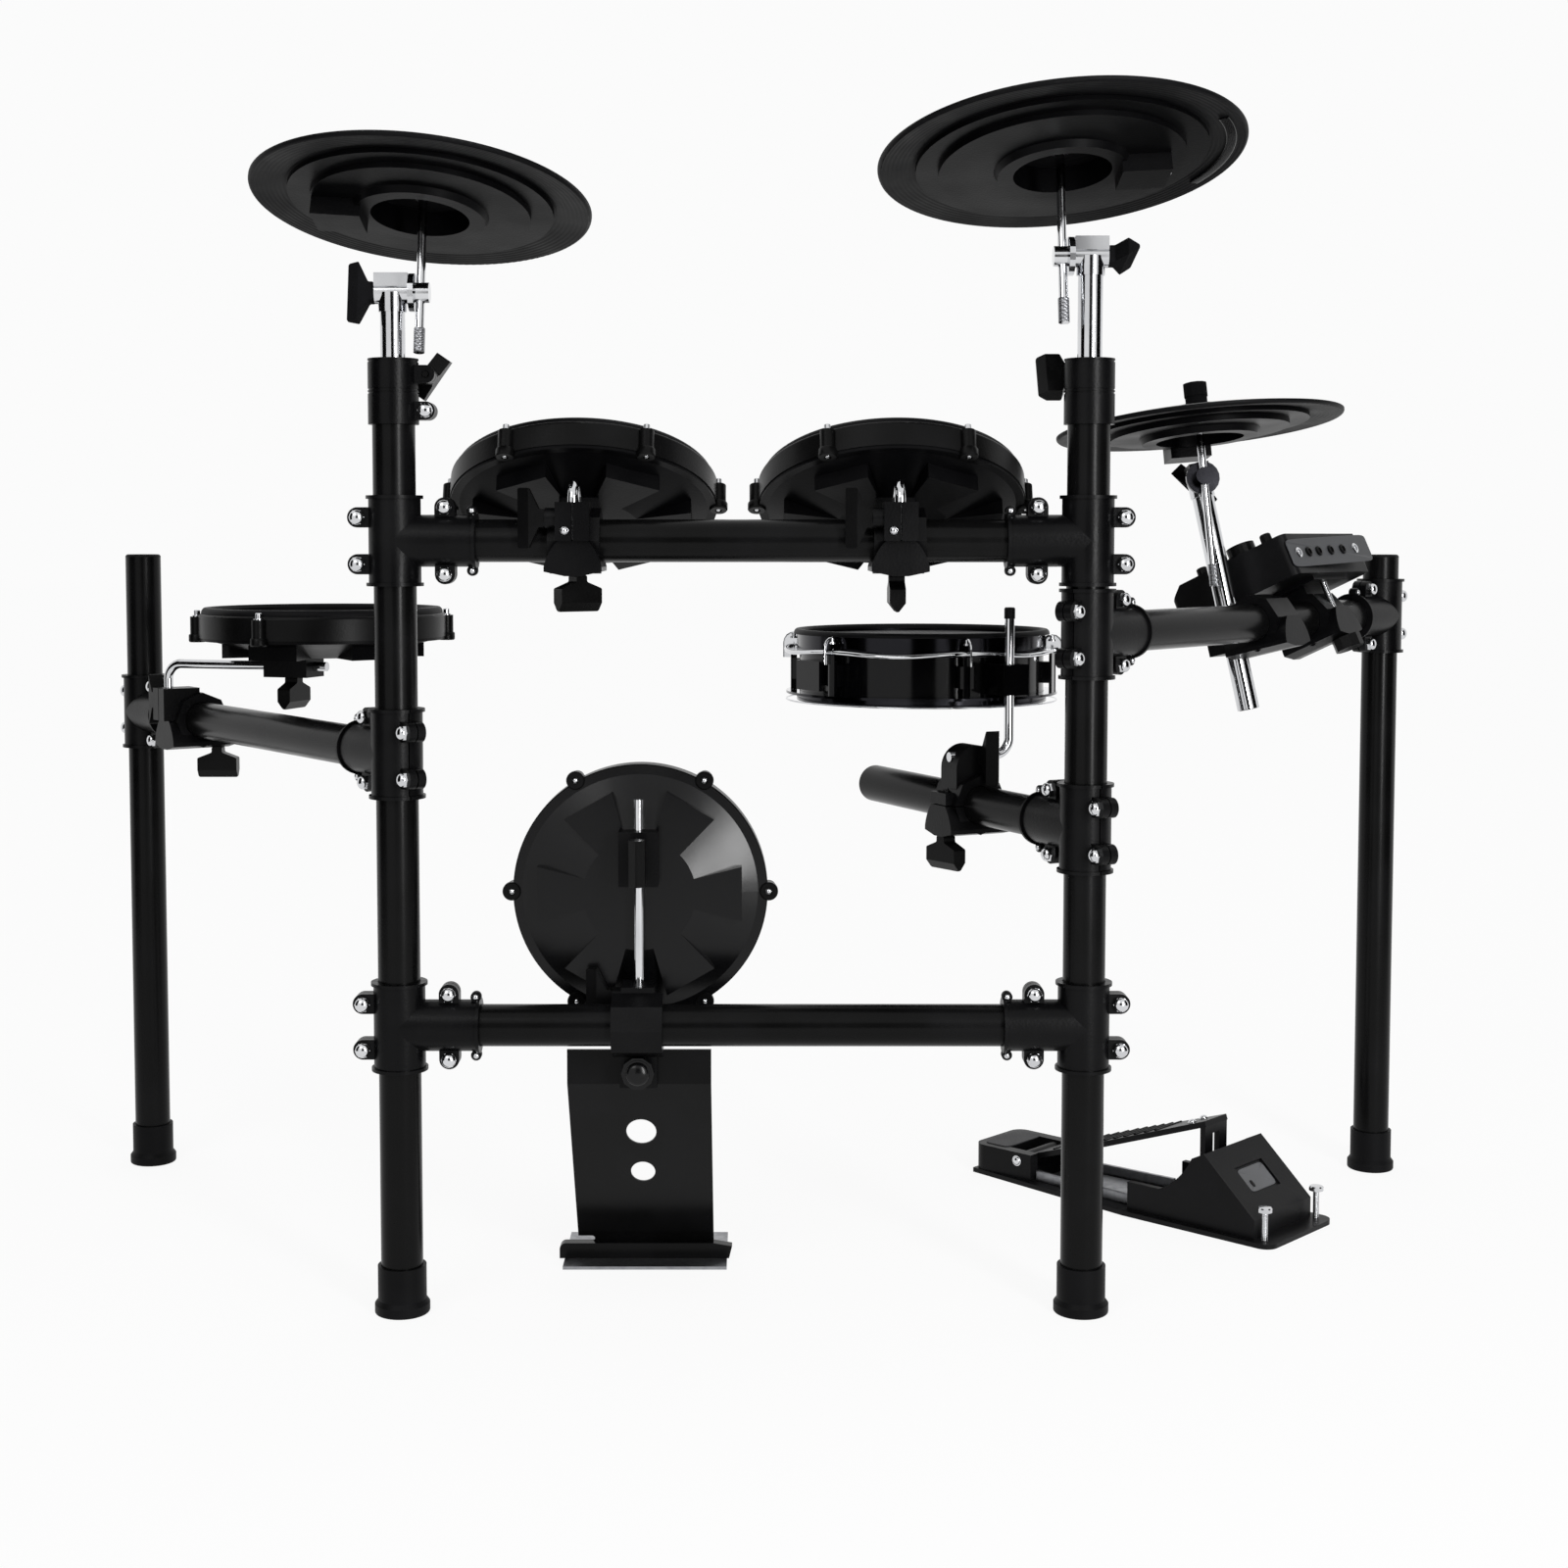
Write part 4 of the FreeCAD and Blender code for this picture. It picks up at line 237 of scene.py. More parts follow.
# Satin ABS of the bowls under the toms: nearly black, even where they are seen at a low angle
SATIN_ABS = Finish("black_satin_abs", "060607", "0c0c0d", Grain.MOULDED, 2.4, 0.05, (0.3, 0.42),
                   specular=0.05)
# Case of the sound module: black ABS with a light texture
CASE_ABS = Finish("black_textured_abs", "0b0b0c", "111113", Grain.MOULDED, 2.4, 0.05, (0.34, 0.46),
                  specular=0.12)
# Painted sheet behind the module's sockets: dark grey, faintly clouded
PANEL_PAINT = Finish("dark_grey_panel_paint", "404143", "494a4d", Grain.POWDER, 1.2, 0.02, (0.4, 0.52),
                     specular=0.25)
# Painted sheet of the pedal's window and of the small buttons: mid grey, faintly clouded
GREY_SHEET = Finish("grey_painted_sheet", "58595b", "636467", Grain.POWDER, 1.2, 0.02, (0.4, 0.52),
                    specular=0.3)
# Galvanised steel of the kick pad's floor plate and the pedal's channel: pale grey with a soft spangle
GALVANISED = Finish("galvanised_steel", "96979a", "808185", Grain.POWDER, 3.0, 0.02, (0.34, 0.46),
                    metallic=1.0, blotch_mm=8.0)
# Dark nickel on the hi-hat joint: mirror-like but smoky. On the snare's chrome hoop bands the same dark metal
# is a painted reflection: chrome darkened where it faces sideways
DARK_NICKEL_AND_PAINTED_REFLECTION = Finish("dark_nickel_and_painted_reflection", "242427", "303034", Grain.POLISHED, 12.0, 0.004, (0.1, 0.18),
                     metallic=1.0)
# Natural rubber of covers, rims and feet: dull black, a little dusty
RUBBER = Finish("black_pressed_rubber", "09090a", "0f0f11", Grain.RUBBER, 2.4, 0.05, (0.4, 0.56),
                specular=0.08)
# Rubber mat with crossing ribs on the pedal's heel block: a tone lighter than the casting
HEEL_MAT = Finish("grey_ribbed_rubber", "2c2c2e", "343437", Grain.WOVEN, 4.0, 0.12, (0.5, 0.62),
                  specular=0.2)
# Woven polyester of the drum heads: dull, with a weave drawn five times as coarse as real so that it shows
MESH_HEAD = Finish("black_woven_polyester_mesh", "0e0e0f", "151517", Grain.WOVEN, 5.0, 0.5, (0.5, 0.65),
                   specular=0.2)
# Gloss black wrap on the snare shell: mirror-like
GLOSS_WRAP = Finish("gloss_black_shell_wrap", "040405", "070708", Grain.POLISHED, 9.0, 0.01, (0.08, 0.14),
                    specular=0.2)
# Chromium plating on rods, poles, bolts and hoops: bright with dark reflected bands
CHROME = Finish("polished_chrome_plate", "d4d5d7", "c4c5c8", Grain.POLISHED, 12.0, 0.004, (0.06, 0.13),
                metallic=1.0)
# Knurled steel grip at the foot of a cymbal rod: grey and crossed by fine cuts
KNURLED_STEEL = Finish("knurled_steel", "8b8c8f", "77787b", Grain.KNURLED, 2.2, 0.3, (0.28, 0.40),
                       metallic=1.0)
# Wool felt washers between cymbal and nut: fuzzy, no shine at all
FELT = Finish("black_wool_felt", "101011", "18181a", Grain.FELTED, 2.0, 0.3, (0.85, 0.95), specular=0.05)
# Textured paint on the pedal castings: black with a hammered grain
CAST_PAINT = Finish("black_textured_paint", "0c0c0d", "121214", Grain.POWDER, 2.6, 0.08, (0.32, 0.44),
                    specular=0.12)
# Smoked acrylic over the display: very dark and very smooth
ACRYLIC = Finish("smoked_acrylic_window", "08090b", "0b0d10", Grain.POLISHED, 20.0, 0.004, (0.05, 0.08),
                 specular=0.4)


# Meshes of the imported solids
def node_arrays(name: str) -> tuple[np.ndarray, np.ndarray]:
    """Read a CAD node's mesh.

    Args:
        name: Node name.

    Returns:
        Vertex positions (n, 3) in metres and triangles (m, 3).
    """
    mesh = frame["nodes"][name].data
    points = np.empty(len(mesh.vertices) * 3)
    mesh.vertices.foreach_get("co", points)
    corners = np.empty(len(mesh.loops), dtype=np.int64)
    mesh.loops.foreach_get("vertex_index", corners)
    return points.reshape(-1, 3), corners.reshape(-1, 3)


def solid_numbers(name: str) -> np.ndarray:
    """Number the separate solids inside one node.

    Equal positions count as one point, and the lowest point number spreads over each
    triangle until nothing changes, so every face of a solid ends with the same number.

    Args:
        name: Node name.

    Returns:
        Solid number of each face, counted in the order of their first faces.
    """
    points, faces = node_arrays(name)
    _, same = np.unique(np.round(points / WELD).astype(np.int64), axis=0, return_inverse=True)
    corners = same.reshape(-1)[faces]
    label = np.arange(same.max() + 1)
    while True:
        lowest = label[corners].min(axis=1)
        spread = label.copy()
        for column in range(3):
            np.minimum.at(spread, corners[:, column], lowest)
        spread = spread[spread]
        if np.array_equal(spread, label):
            break
        label = spread
    of_face = label[corners[:, 0]]
    _, first, numbers = np.unique(of_face, return_index=True, return_inverse=True)
    rank = np.argsort(np.argsort(first))
    return rank[numbers.reshape(-1)]


def solid_faces(name: str, number: int) -> np.ndarray:
    """Read one solid of a CAD node.

    Args:
        name: Node name.
        number: Which solid, in order.

    Returns:
        Corner positions (m, 3, 3) of its triangles, in metres.
    """
    points, faces = node_arrays(name)
    return points[faces[solid_numbers(name) == number]]


def solid_points(name: str, number: int) -> np.ndarray:
    """Corner positions (n, 3) of one solid of a CAD node, in metres."""
    return solid_faces(name, number).reshape(-1, 3)


def box_middle(points: np.ndarray) -> np.ndarray:
    """Middle of the box round some points (n, 3)."""
    return (points.min(axis=0) + points.max(axis=0)) / 2


def paint(name: str, *finishes: Finish) -> None:
    """Give a CAD node its finishes, one per solid in order; the last serves all further solids.

    Args:
        name: Node name.
        finishes: Finishes in the order of the node's solids.
    """
    mesh = frame["nodes"][name].data
    mesh.materials.clear()
    for finish in finishes:
        mesh.materials.append(finish.material())
    numbers = np.zeros(len(mesh.polygons), dtype=np.int32)
    if len(finishes) > 1:
        numbers = np.minimum(solid_numbers(name), len(finishes) - 1).astype(np.int32)
    mesh.polygons.foreach_set("material_index", numbers)
    mesh.update()
    log.info("painted %s with %s", name, ", ".join(finish.name for finish in finishes))


def repaint(name: str, chosen: np.ndarray, finish: Finish) -> None:
    """Give some faces of a CAD node another finish.

    Args:
        name: Node name.
        chosen: True for each face that changes.
        finish: Their new finish.
    """
    mesh = frame["nodes"][name].data
    mesh.materials.append(finish.material())
    numbers = np.empty(len(mesh.polygons), dtype=np.int32)
    mesh.polygons.foreach_get("material_index", numbers)
    changed = np.where(chosen, len(mesh.materials) - 1, numbers).astype(np.int32)
    mesh.polygons.foreach_set("material_index", changed)
    mesh.update()


# Places in the frame
@dataclass(frozen=True)
class Axes:
    """A place in the frame: its origin in metres and three unit directions.

    Attributes:
        origin: Position.
        turn: Rows x, y and z of the place's directions.
    """

    origin: np.ndarray
    turn: np.ndarray

    @staticmethod
    def facing(origin: np.ndarray, z: np.ndarray, x: np.ndarray = ANY_SIDE) -> "Axes":
        """Place whose z points one way and whose x comes nearest to another.

        Args:
            origin: Position in metres.
            z: Direction of z.
            x: Direction that x leans to.

        Returns:
            The place, right-handed.
        """
        up = z / np.linalg.norm(z)
        across = x - up * (x @ up)
        across = across / np.linalg.norm(across)
        return Axes(np.asarray(origin, dtype=float), np.stack([across, np.cross(up, across), up]))

    def shift(self, x: float = 0.0, y: float = 0.0, z: float = 0.0) -> "Axes":
        """Move along the place's own directions, in millimetres."""
        return Axes(self.origin + np.array([x, y, z]) * MM @ self.turn, self.turn)

    def about_z(self, degrees: float) -> "Axes":
        """Turn about the place's own z."""
        c, s = math.cos(math.radians(degrees)), math.sin(math.radians(degrees))
        return Axes(self.origin, np.array([[c, s, 0.0], [-s, c, 0.0], [0.0, 0.0, 1.0]]) @ self.turn)

    def about_x(self, degrees: float) -> "Axes":
        """Turn about the place's own x."""
        c, s = math.cos(math.radians(degrees)), math.sin(math.radians(degrees))
        return Axes(self.origin, np.array([[1.0, 0.0, 0.0], [0.0, c, s], [0.0, -s, c]]) @ self.turn)

    def local(self, points: np.ndarray) -> np.ndarray:
        """Positions seen from the place, in millimetres."""
        return (points - self.origin) @ self.turn.T / MM

    def about_length(self, points: np.ndarray) -> tuple[np.ndarray, np.ndarray]:
        """Split positions into how far they lie along the place's x and how far away from it.

        Args:
            points: Positions (n, 3) in metres.

        Returns:
            Distance along x and distance from x, in metres.
        """
        offset = points - self.origin
        along = offset @ self.turn[0]
        return along, np.linalg.norm(offset - along[:, None] * self.turn[0], axis=1)


def principal(corners: np.ndarray) -> Axes:
    """Place of a solid by its own spread.

    The origin is the mean of the surface, weighted by area, and the directions are the
    eigenvectors of its spread: x where it is longest, z where it is thinnest.

    Args:
        corners: Corner positions (m, 3, 3) of its triangles.

    Returns:
        The place.
    """
    edges = corners[:, 1:] - corners[:, :1]
    area = np.linalg.norm(np.cross(edges[:, 0], edges[:, 1]), axis=1)
    middle = corners.mean(axis=1)
    origin = (middle * area[:, None]).sum(axis=0) / area.sum()
    offset = middle - origin
    _, vectors = np.linalg.eigh((offset * area[:, None]).T @ offset)
    return Axes.facing(origin, vectors[:, 0], vectors[:, 2])


def upward(place: Axes, towards: np.ndarray) -> Axes:
    """The same place with its z turned to the side of a given direction."""
    turned = Axes.facing(place.origin, -place.turn[2], place.turn[0])
    return place if place.turn[2] @ towards > 0 else turned


def ring_places(place: Axes, corners: np.ndarray, count: int, inset: float, top: bool) -> list[Axes]:
    """Places of the lugs that stand round a ring.

    The points within 2 mm of the largest radius belong to the lugs; the mean of their angles,
    each multiplied by the count, gives where the first lug is.

    Args:
        place: Middle of the ring, z along its axis.
        corners: Triangles of the ring.
        count: Number of lugs.
        inset: Distance from a lug's outermost point to its middle, in millimetres.
        top: True for the lugs' upper ends, False for their lower ends.

    Returns:
        One place per lug, z pointing away from the lug's end.
    """
    seen = place.local(corners.reshape(-1, 3))
    radius = np.hypot(seen[:, 0], seen[:, 1])
    far = seen[radius > radius.max() - 2.0]
    angle = np.arctan2(far[:, 1], far[:, 0])
    first = np.angle(np.exp(1j * count * angle).mean()) / count
    height = far[:, 2].max() if top else far[:, 2].min()
    spots = [place.about_z(math.degrees(first) + step * 360.0 / count) for step in range(count)]
    spots = [spot.shift(x=radius.max() - inset, z=height) for spot in spots]
    return spots if top else [spot.about_x(180.0) for spot in spots]


# Surfaces
@dataclass(frozen=True)
class Patch:
    """A triangle surface.

    Attributes:
        points: Positions (n, 3).
        faces: Corner numbers (m, 3).
    """

    points: np.ndarray
    faces: np.ndarray


def grid_patch(rows: np.ndarray) -> Patch:
    """Close a grid of points into a surface.

    Each row is a loop, its last point joins its first, and each loop is joined to the next.
    Points that fall together, as at a pole, become one, and triangles of no area go.

    Args:
        rows: Positions (rows, columns, 3), counter-clockwise seen against the way the rows go.

    Returns:
        The closed surface.
    """
    number = np.arange(rows.shape[0] * rows.shape[1]).reshape(rows.shape[:2])
    right = np.roll(number, -1, axis=1)
    low_left, low_right, high_left, high_right = number[:-1], right[:-1], number[1:], right[1:]
    faces = np.concatenate([
        np.stack([low_left, low_right, high_right], axis=-1).reshape(-1, 3),
        np.stack([low_left, high_right, high_left], axis=-1).reshape(-1, 3),
    ])
    points = rows.reshape(-1, 3)
    _, first, same = np.unique(np.round(points, 4), axis=0, return_index=True, return_inverse=True)
    faces = same.reshape(-1)[faces]
    whole = (faces != np.roll(faces, 1, axis=1)).all(axis=1)
    return Patch(points[first], faces[whole])


def lathe(profile: Profile | np.ndarray, sides: int = 28) -> Patch:
    """Surface of revolution: at angle u and profile point v it lies at (r cos u, r sin u, z).

    Args:
        profile: (radius, height) points from the lower pole round to the upper one, in millimetres.
        sides: Points round the axis.

    Returns:
        The surface about z.
    """
    radius, height = np.array(profile, dtype=float).T
    turn = np.linspace(0.0, TAU, sides, endpoint=False)
    rows = np.stack([
        radius[:, None] * np.cos(turn),
        radius[:, None] * np.sin(turn),
        np.broadcast_to(height[:, None], (len(radius), sides)),
    ], axis=-1)
    return grid_patch(rows)


def sweep(path: np.ndarray, section: np.ndarray, up: np.ndarray = UP) -> Patch:
    """Profile carried along a path, square to it, and closed at both ends.

    At each path point the section's first axis is the cross product of up and the path's
    direction, and its second is the cross product of the direction and that axis.

    Args:
        path: Points (n, 3) in millimetres.
        section: Loop of points (m, 2), counter-clockwise.
        up: Direction that is never along the path.

    Returns:
        The closed bar.
    """
    way = np.gradient(path, axis=0)
    way = way / np.linalg.norm(way, axis=1, keepdims=True)
    side = np.cross(up, way)
    side = side / np.linalg.norm(side, axis=1, keepdims=True)
    normal = np.cross(way, side)
    rows = path[:, None] + section[:, :1] * side[:, None] + section[:, 1:] * normal[:, None]
    ends = np.broadcast_to(path[[0, -1]][:, None], (2, len(section), 3))
    return grid_patch(np.concatenate([ends[:1], rows, ends[1:]]))


def outline(width: float, depth: float, squareness: float, count: int = 32) -> np.ndarray:
    """Rounded rectangle as a superellipse: half sides times cosine and sine to the power 2 / squareness.

    Args:
        width: Whole width in millimetres.
        depth: Whole depth.
        squareness: 2 gives an ellipse, more gives squarer corners.
        count: Points round the loop.

    Returns:
        Loop of points (count, 2), counter-clockwise.
    """
    turn = np.linspace(0.0, TAU, count, endpoint=False) + TAU / count / 2
    wave = np.stack([np.cos(turn), np.sin(turn)], axis=-1)
    return np.sign(wave) * np.abs(wave) ** (2.0 / squareness) * np.array([width, depth]) / 2


def slab(width: float, depth: float, height: float, edge: float, squareness: float) -> Patch:
    """Plate on z = 0 whose outline is a rounded rectangle and whose edges are chamfered.

    The loop stands at four heights, drawn in by the chamfer at the first and the last.

    Args:
        width: Size along x in millimetres.
        depth: Size along y.
        height: Thickness.
        edge: Chamfer.
        squareness: Of the outline.

    Returns:
        The plate.
    """
    insets = (2 * edge, 0.0, 0.0, 2 * edge)
    loops = [outline(width - inset, depth - inset, squareness) for inset in insets]
    heights = np.array([0.0, edge, height - edge, height])
    flat = np.stack([loops[0] * 0.0, *loops, loops[0] * 0.0])
    levels = np.concatenate([heights[:1], heights, heights[-1:]])
    lift = np.broadcast_to(levels[:, None, None], (*flat.shape[:2], 1))
    return grid_patch(np.concatenate([flat, lift], axis=-1))


def thread(radius: float, length: float, pitch: float = 1.6, depth: float = 0.5) -> Patch:
    """Threaded rod on z: the radius falls by the depth times the distance from the nearest crest.

    The crest climbs one pitch per turn, so that distance is the triangle wave of height over
    pitch less angle over a full turn. The grid has 16 points a turn and 8 rows a pitch.

    Args:
        radius: At the crests, in millimetres.
        length: Of the rod.
        pitch: Climb of one turn.
        depth: From crest to root.

    Returns:
        The rod.
    """
    turn = np.linspace(0.0, TAU, 16, endpoint=False)
    height = np.linspace(0.0, length, int(length / pitch * 8))
    phase = height[:, None] / pitch - turn / TAU
    size = radius - depth * np.abs(2.0 * (phase - np.floor(phase)) - 1.0)
    levels = np.broadcast_to(height[:, None], size.shape)
    rows = np.stack([size * np.cos(turn), size * np.sin(turn), levels], axis=-1)
    ends = np.zeros((2, len(turn), 3))
    ends[1, :, 2] = length
    return grid_patch(np.concatenate([ends[:1], rows, ends[1:]]))


def bead(radius: float, height: float, wave: float, thick: float, waves: int) -> Patch:
    """Round bead along a circle that rises and falls.

    At angle u round the circle and v round the bead it lies at distance radius + thick cos v
    from z, at height + wave cos(waves u) - thick sin v. The grid is 97 by 10 points.

    Args:
        radius: Of the circle, in millimetres.
        height: Mean height.
        wave: Rise above that height.
        thick: Radius of the bead.
        waves: Number of rises round the circle.

    Returns:
        The closed bead.
    """
    round_z = np.linspace(0.0, TAU, 97)[:, None]
    round_bead = np.linspace(0.0, TAU, 10, endpoint=False)
    away = radius + thick * np.cos(round_bead)
    lift = height + wave * np.cos(waves * round_z) - thick * np.sin(round_bead)
    return grid_patch(np.stack([away * np.cos(round_z), away * np.sin(round_z), lift], axis=-1))


def dome(radius: float, height: float, washer: float = 0.0) -> Patch:
    """Round screw head on z = 0: a quarter ellipse turned about z, on a washer 1 mm thick where one is given.

    Args:
        radius: Of the head, in millimetres.
        height: Of the head above its foot.
        washer: Radius of the washer, or 0 for none.

    Returns:
        The head.
    """
    bend = np.linspace(0.0, TAU / 4, 9)
    base = 1.0 if washer else 0.0
    rim = [(washer, 0.0), (washer, base)] if washer else []
    curve = np.stack([radius * np.cos(bend), base + height * np.sin(bend)], axis=-1)
    return lathe(np.concatenate([[(0.0, 0.0), *rim], curve]))


def copies(patch: Patch, places: list[Axes]) -> Patch:
    """Set copies of a surface in millimetres at places in the frame.

    Args:
        patch: The surface.
        places: Where the copies go.

    Returns:
        All copies as one surface in metres.
    """
    turns = np.stack([place.turn for place in places])
    origins = np.stack([place.origin for place in places])
    points = patch.points * MM @ turns + origins[:, None]
    faces = patch.faces + np.arange(len(places))[:, None, None] * len(patch.points)
    return Patch(points.reshape(-1, 3), faces.reshape(-1, 3))


def show(name: str, data: bpy.types.ID) -> bpy.types.Object:
    """Put an object with some mesh, lamp or camera data into the scene.

    Args:
        name: Name of the object.
        data: What it shows.

    Returns:
        The object.
    """
    thing = bpy.data.objects.new(name, data)
    bpy.context.scene.collection.objects.link(thing)
    return thing


def add_piece(name: str, finish: Finish, body: str, *sets: tuple[Patch, list[Axes]]) -> None:
    """Make one object of surfaces set at their places, and let it ride on a body.

    Args:
        name: Name of the piece.
        finish: Its material.
        body: Body that carries it.
        sets: Surfaces in millimetres, each with the places of its copies.
    """
    parts = [copies(patch, places) for patch, places in sets]
    start = np.cumsum([0] + [len(part.points) for part in parts[:-1]])
    points = np.concatenate([part.points for part in parts])
    faces = np.concatenate([part.faces + first for part, first in zip(parts, start)])
    mesh = bpy.data.meshes.new(name)
    mesh.from_pydata(points.tolist(), [], faces.tolist())
    mesh.polygons.foreach_set("use_smooth", np.ones(len(faces), dtype=bool))
    mesh.set_sharp_from_angle(angle=math.radians(SHARP_DEG))
    mesh.materials.append(finish.material())
    mesh.update()
    piece = show(name, mesh)
    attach(piece, body)
    log.info("made %s: %d triangles on %s", name, len(faces), body)


def bolt_heads(name: str, numbers: list[int]) -> list[Axes]:
    """Places on the outer faces of bolt heads.

    A bolt's axis is the direction in which it is longest, and its head is at the end where
    its points lie furthest from that axis, within a tenth.

    Args:
        name: Node of the bolts.
        numbers: Which of its solids are bolts.

    Returns:
        One place per bolt, z outwards.
    """
    points, faces = node_arrays(name)
    solids = solid_numbers(name)
    places = []
    for number in numbers:
        corners = points[faces[solids == number]]
        own = principal(corners)
        along, away = own.about_length(corners.reshape(-1, 3))
        sign = 1.0 if along[away > away.max() * 0.9].mean() > 0 else -1.0
        out = own.turn[0] * sign
        places.append(Axes.facing(own.origin + out * (along * sign).max(), out))
    return places


# Sub-assemblies
# Sizes are in millimetres; screw heads, plates and turned profiles are held as what dome, slab and lathe take
@dataclass
class Rack:
    """Tube rack with its clamps, collars, feet and bolts.

    Attributes:
        tubes: Nodes of bare pipe.
        clamps: Nodes of moulded clamps.
        bolts: First word of a bolt node and the body that carries it.
        rim_reach: From a branch's bolts to the small screws on its rim.
        rim_sink: From the bolts' heads back to those screws.
        rim_rise: Of those screws above and below the branch's axis.
        clamp_screw_at: Place of a tom clamp's screw from the clamp's middle and from its foot.
    """

    tubes: tuple[str, ...] = ("left_upright", "right_upright", "upper_crossbar", "lower_crossbar",
                              "left_arm", "right_arm", "left_leg", "right_leg")
    clamps: tuple[str, ...] = ("rack_tee_clamps", "left_tee_clamps", "right_tee_clamps", "pole_collars",
                               "rod_clamps")
    bolts: tuple[tuple[str, str], ...] = (("rack", "rack"), ("left", "left_wing"), ("right", "right_wing"))
    bolt_dome: Pair = (6.6, 4.6)
    rim_reach: float = 24.0
    rim_sink: float = 6.0
    rim_rise: float = 26.5
    rim_screw: Pair = (2.9, 2.2)
    rim_boss: Profile = ((0, -9), (3.8, -9), (4.8, -8), (4.8, -0.8), (4.2, 0), (0, 0))
    clamp_screw: Triple = (3.4, 2.6, 4.4)
    clamp_screw_at: Pair = (-6.5, 40.0)
    knob_cap: Triple = (11.0, 5.0, 12.5)

    def dress(self) -> None:
        """Paint the rack's solids."""
        for name in self.tubes:
            paint(name, POWDER_COAT)
        paint("snare_arm", POWDER_COAT, RUBBER)
        for name in self.clamps:
            paint(name, NYLON)
        for name, _ in self.bolts:
            paint(f"{name}_clamp_bolts", CHROME)
        paint("front_feet", RUBBER)
        for side in ("left", "right"):
            paint(f"{side}_leg_caps", RUBBER)
        paint("collar_bolts", ABS, CHROME, ABS, CHROME)
        paint("clamp_wing_bolts", *[ABS] * 7, GLOSS_ABS)
        paint("floor_tom_clamp", NYLON, ABS)
        paint("hihat_clamp", NYLON, ABS)
        paint("kick_rod", CHROME)
        paint("kick_tower", POWDER_COAT, GALVANISED)

    def build(self) -> None:
        """Cap every bolt with a bright dome and put the small screws on the branch rims and clamps."""
        cap = dome(*self.bolt_dome)
        for name, body in self.bolts:
            node = f"{name}_clamp_bolts"
            heads = bolt_heads(node, list(range(int(solid_numbers(node).max()) + 1)))
            seats = self._rim_seats(heads)
            add_piece(f"{name}_bolt_domes", CHROME, body, (cap, heads))
            add_piece(f"{name}_rim_bosses", NYLON, body, (lathe(self.rim_boss, 20), seats))
            add_piece(f"{name}_rim_screws", CHROME, body, (dome(*self.rim_screw), seats))
        add_piece("collar_bolt_domes", CHROME, "rack", (cap, bolt_heads("collar_bolts", [1, 3])))
        self._clamp_screws()

    def _rim_seats(self, heads: list[Axes]) -> list[Axes]:
        """Places of the small screws above and below the end of each tee's branch.

        Args:
            heads: Bolt heads, four to a tee: two behind the upright, then two at the branch.

        Returns:
            Two places per tee, z the way the bolts face.
        """
        seats = []
        for first in range(0, len(heads), 4):
            four = np.array([place.origin for place in heads[first:first + 4]])
            back, front = four[:2].mean(axis=0), four[2:].mean(axis=0)
            reach = (front - back) / np.linalg.norm(front - back)
            face = heads[first].turn[2]
            rim = front + reach * self.rim_reach * MM - face * self.rim_sink * MM
            seats += [Axes.facing(rim + UP * side * self.rim_rise * MM, face, reach) for side in SIDES]
        return seats

    def _clamp_screws(self) -> None:
        """Set a bright screw in the front of each tom clamp and a cap on the tower's knob."""
        side, rise = self.clamp_screw_at
        seats = []
        for number in (0, 1):
            points = solid_points("rod_clamps", number)
            low = points.min(axis=0)
            spot = np.array([box_middle(points)[0] + side * MM, low[1], low[2] + rise * MM])
            seats.append(Axes.facing(spot, TO_AUDIENCE))
        add_piece("tom_clamp_screws", CHROME, "rack", (dome(*self.clamp_screw), seats))
        knob = solid_points("clamp_wing_bolts", 7)
        face = knob[knob[:, 1] < knob[:, 1].min() + MM]
        seat = Axes.facing(box_middle(face), TO_AUDIENCE)
        add_piece("tower_knob_cap", GLOSS_ABS, "rack", (dome(*self.knob_cap), [seat]))


# Drum pads
@dataclass
class DrumPad:
    """One mesh-headed drum pad on its rod.

    Attributes:
        name: First words of its nodes.
        body: Body that carries it.
        rod: Node of its rod, or an empty word.
        bowl: Finish of its dish.
        lug_radius: Of the screw columns, in millimetres.
        count: Number of screw columns.
        screw: Profile of a tension screw's head.
        boss: Profile of the boss under an ear.
        screw_end: Radius, height and washer of the screw's end in that boss.
    """

    name: str
    body: str
    rod: str
    bowl: Finish = SATIN_ABS
    lug_radius: float = 7.0
    count: int = 6
    screw: Profile = ((0, 0), (5.0, 0), (5.0, 1.2), (3.2, 1.8), (3.2, 6.0), (2.4, 6.8), (0, 6.8))
    boss: Profile = ((0, -6), (8.0, -6), (8.6, -5), (8.6, 0.8), (7.6, 2.0), (3.4, 2.0), (3.0, 1.0), (0, 1.0))
    screw_end: Triple = (2.3, 1.4, 2.6)

    def dress(self) -> None:
        """Paint the pad's dish, hoop, head and rod."""
        paint(f"{self.name}_dish", self.bowl, FELT, NYLON, ABS)
        paint(f"{self.name}_hoop", ABS)
        paint(f"{self.name}_head", MESH_HEAD, RUBBER)
        if self.rod:
            paint(self.rod, CHROME)

    def build(self) -> None:
        """Set a tension screw on each column, and a boss with the screw's end under each ear."""
        hoop = solid_faces(f"{self.name}_hoop", 0)
        dish = solid_faces(f"{self.name}_dish", 0)
        up = solid_points(f"{self.name}_head", 0).mean(axis=0) - dish.reshape(-1, 3).mean(axis=0)
        place = upward(principal(hoop), up)
        tops = ring_places(place, hoop, self.count, self.lug_radius, True)
        add_piece(f"{self.name}_tension_screws", CHROME, self.body, (lathe(self.screw, 24), tops))
        ears = ring_places(place, dish, self.count, self.lug_radius, False)
        add_piece(f"{self.name}_ear_bosses", ABS, self.body, (lathe(self.boss), ears))
        add_piece(f"{self.name}_ear_screw_ends", CHROME, self.body, (dome(*self.screw_end), ears))


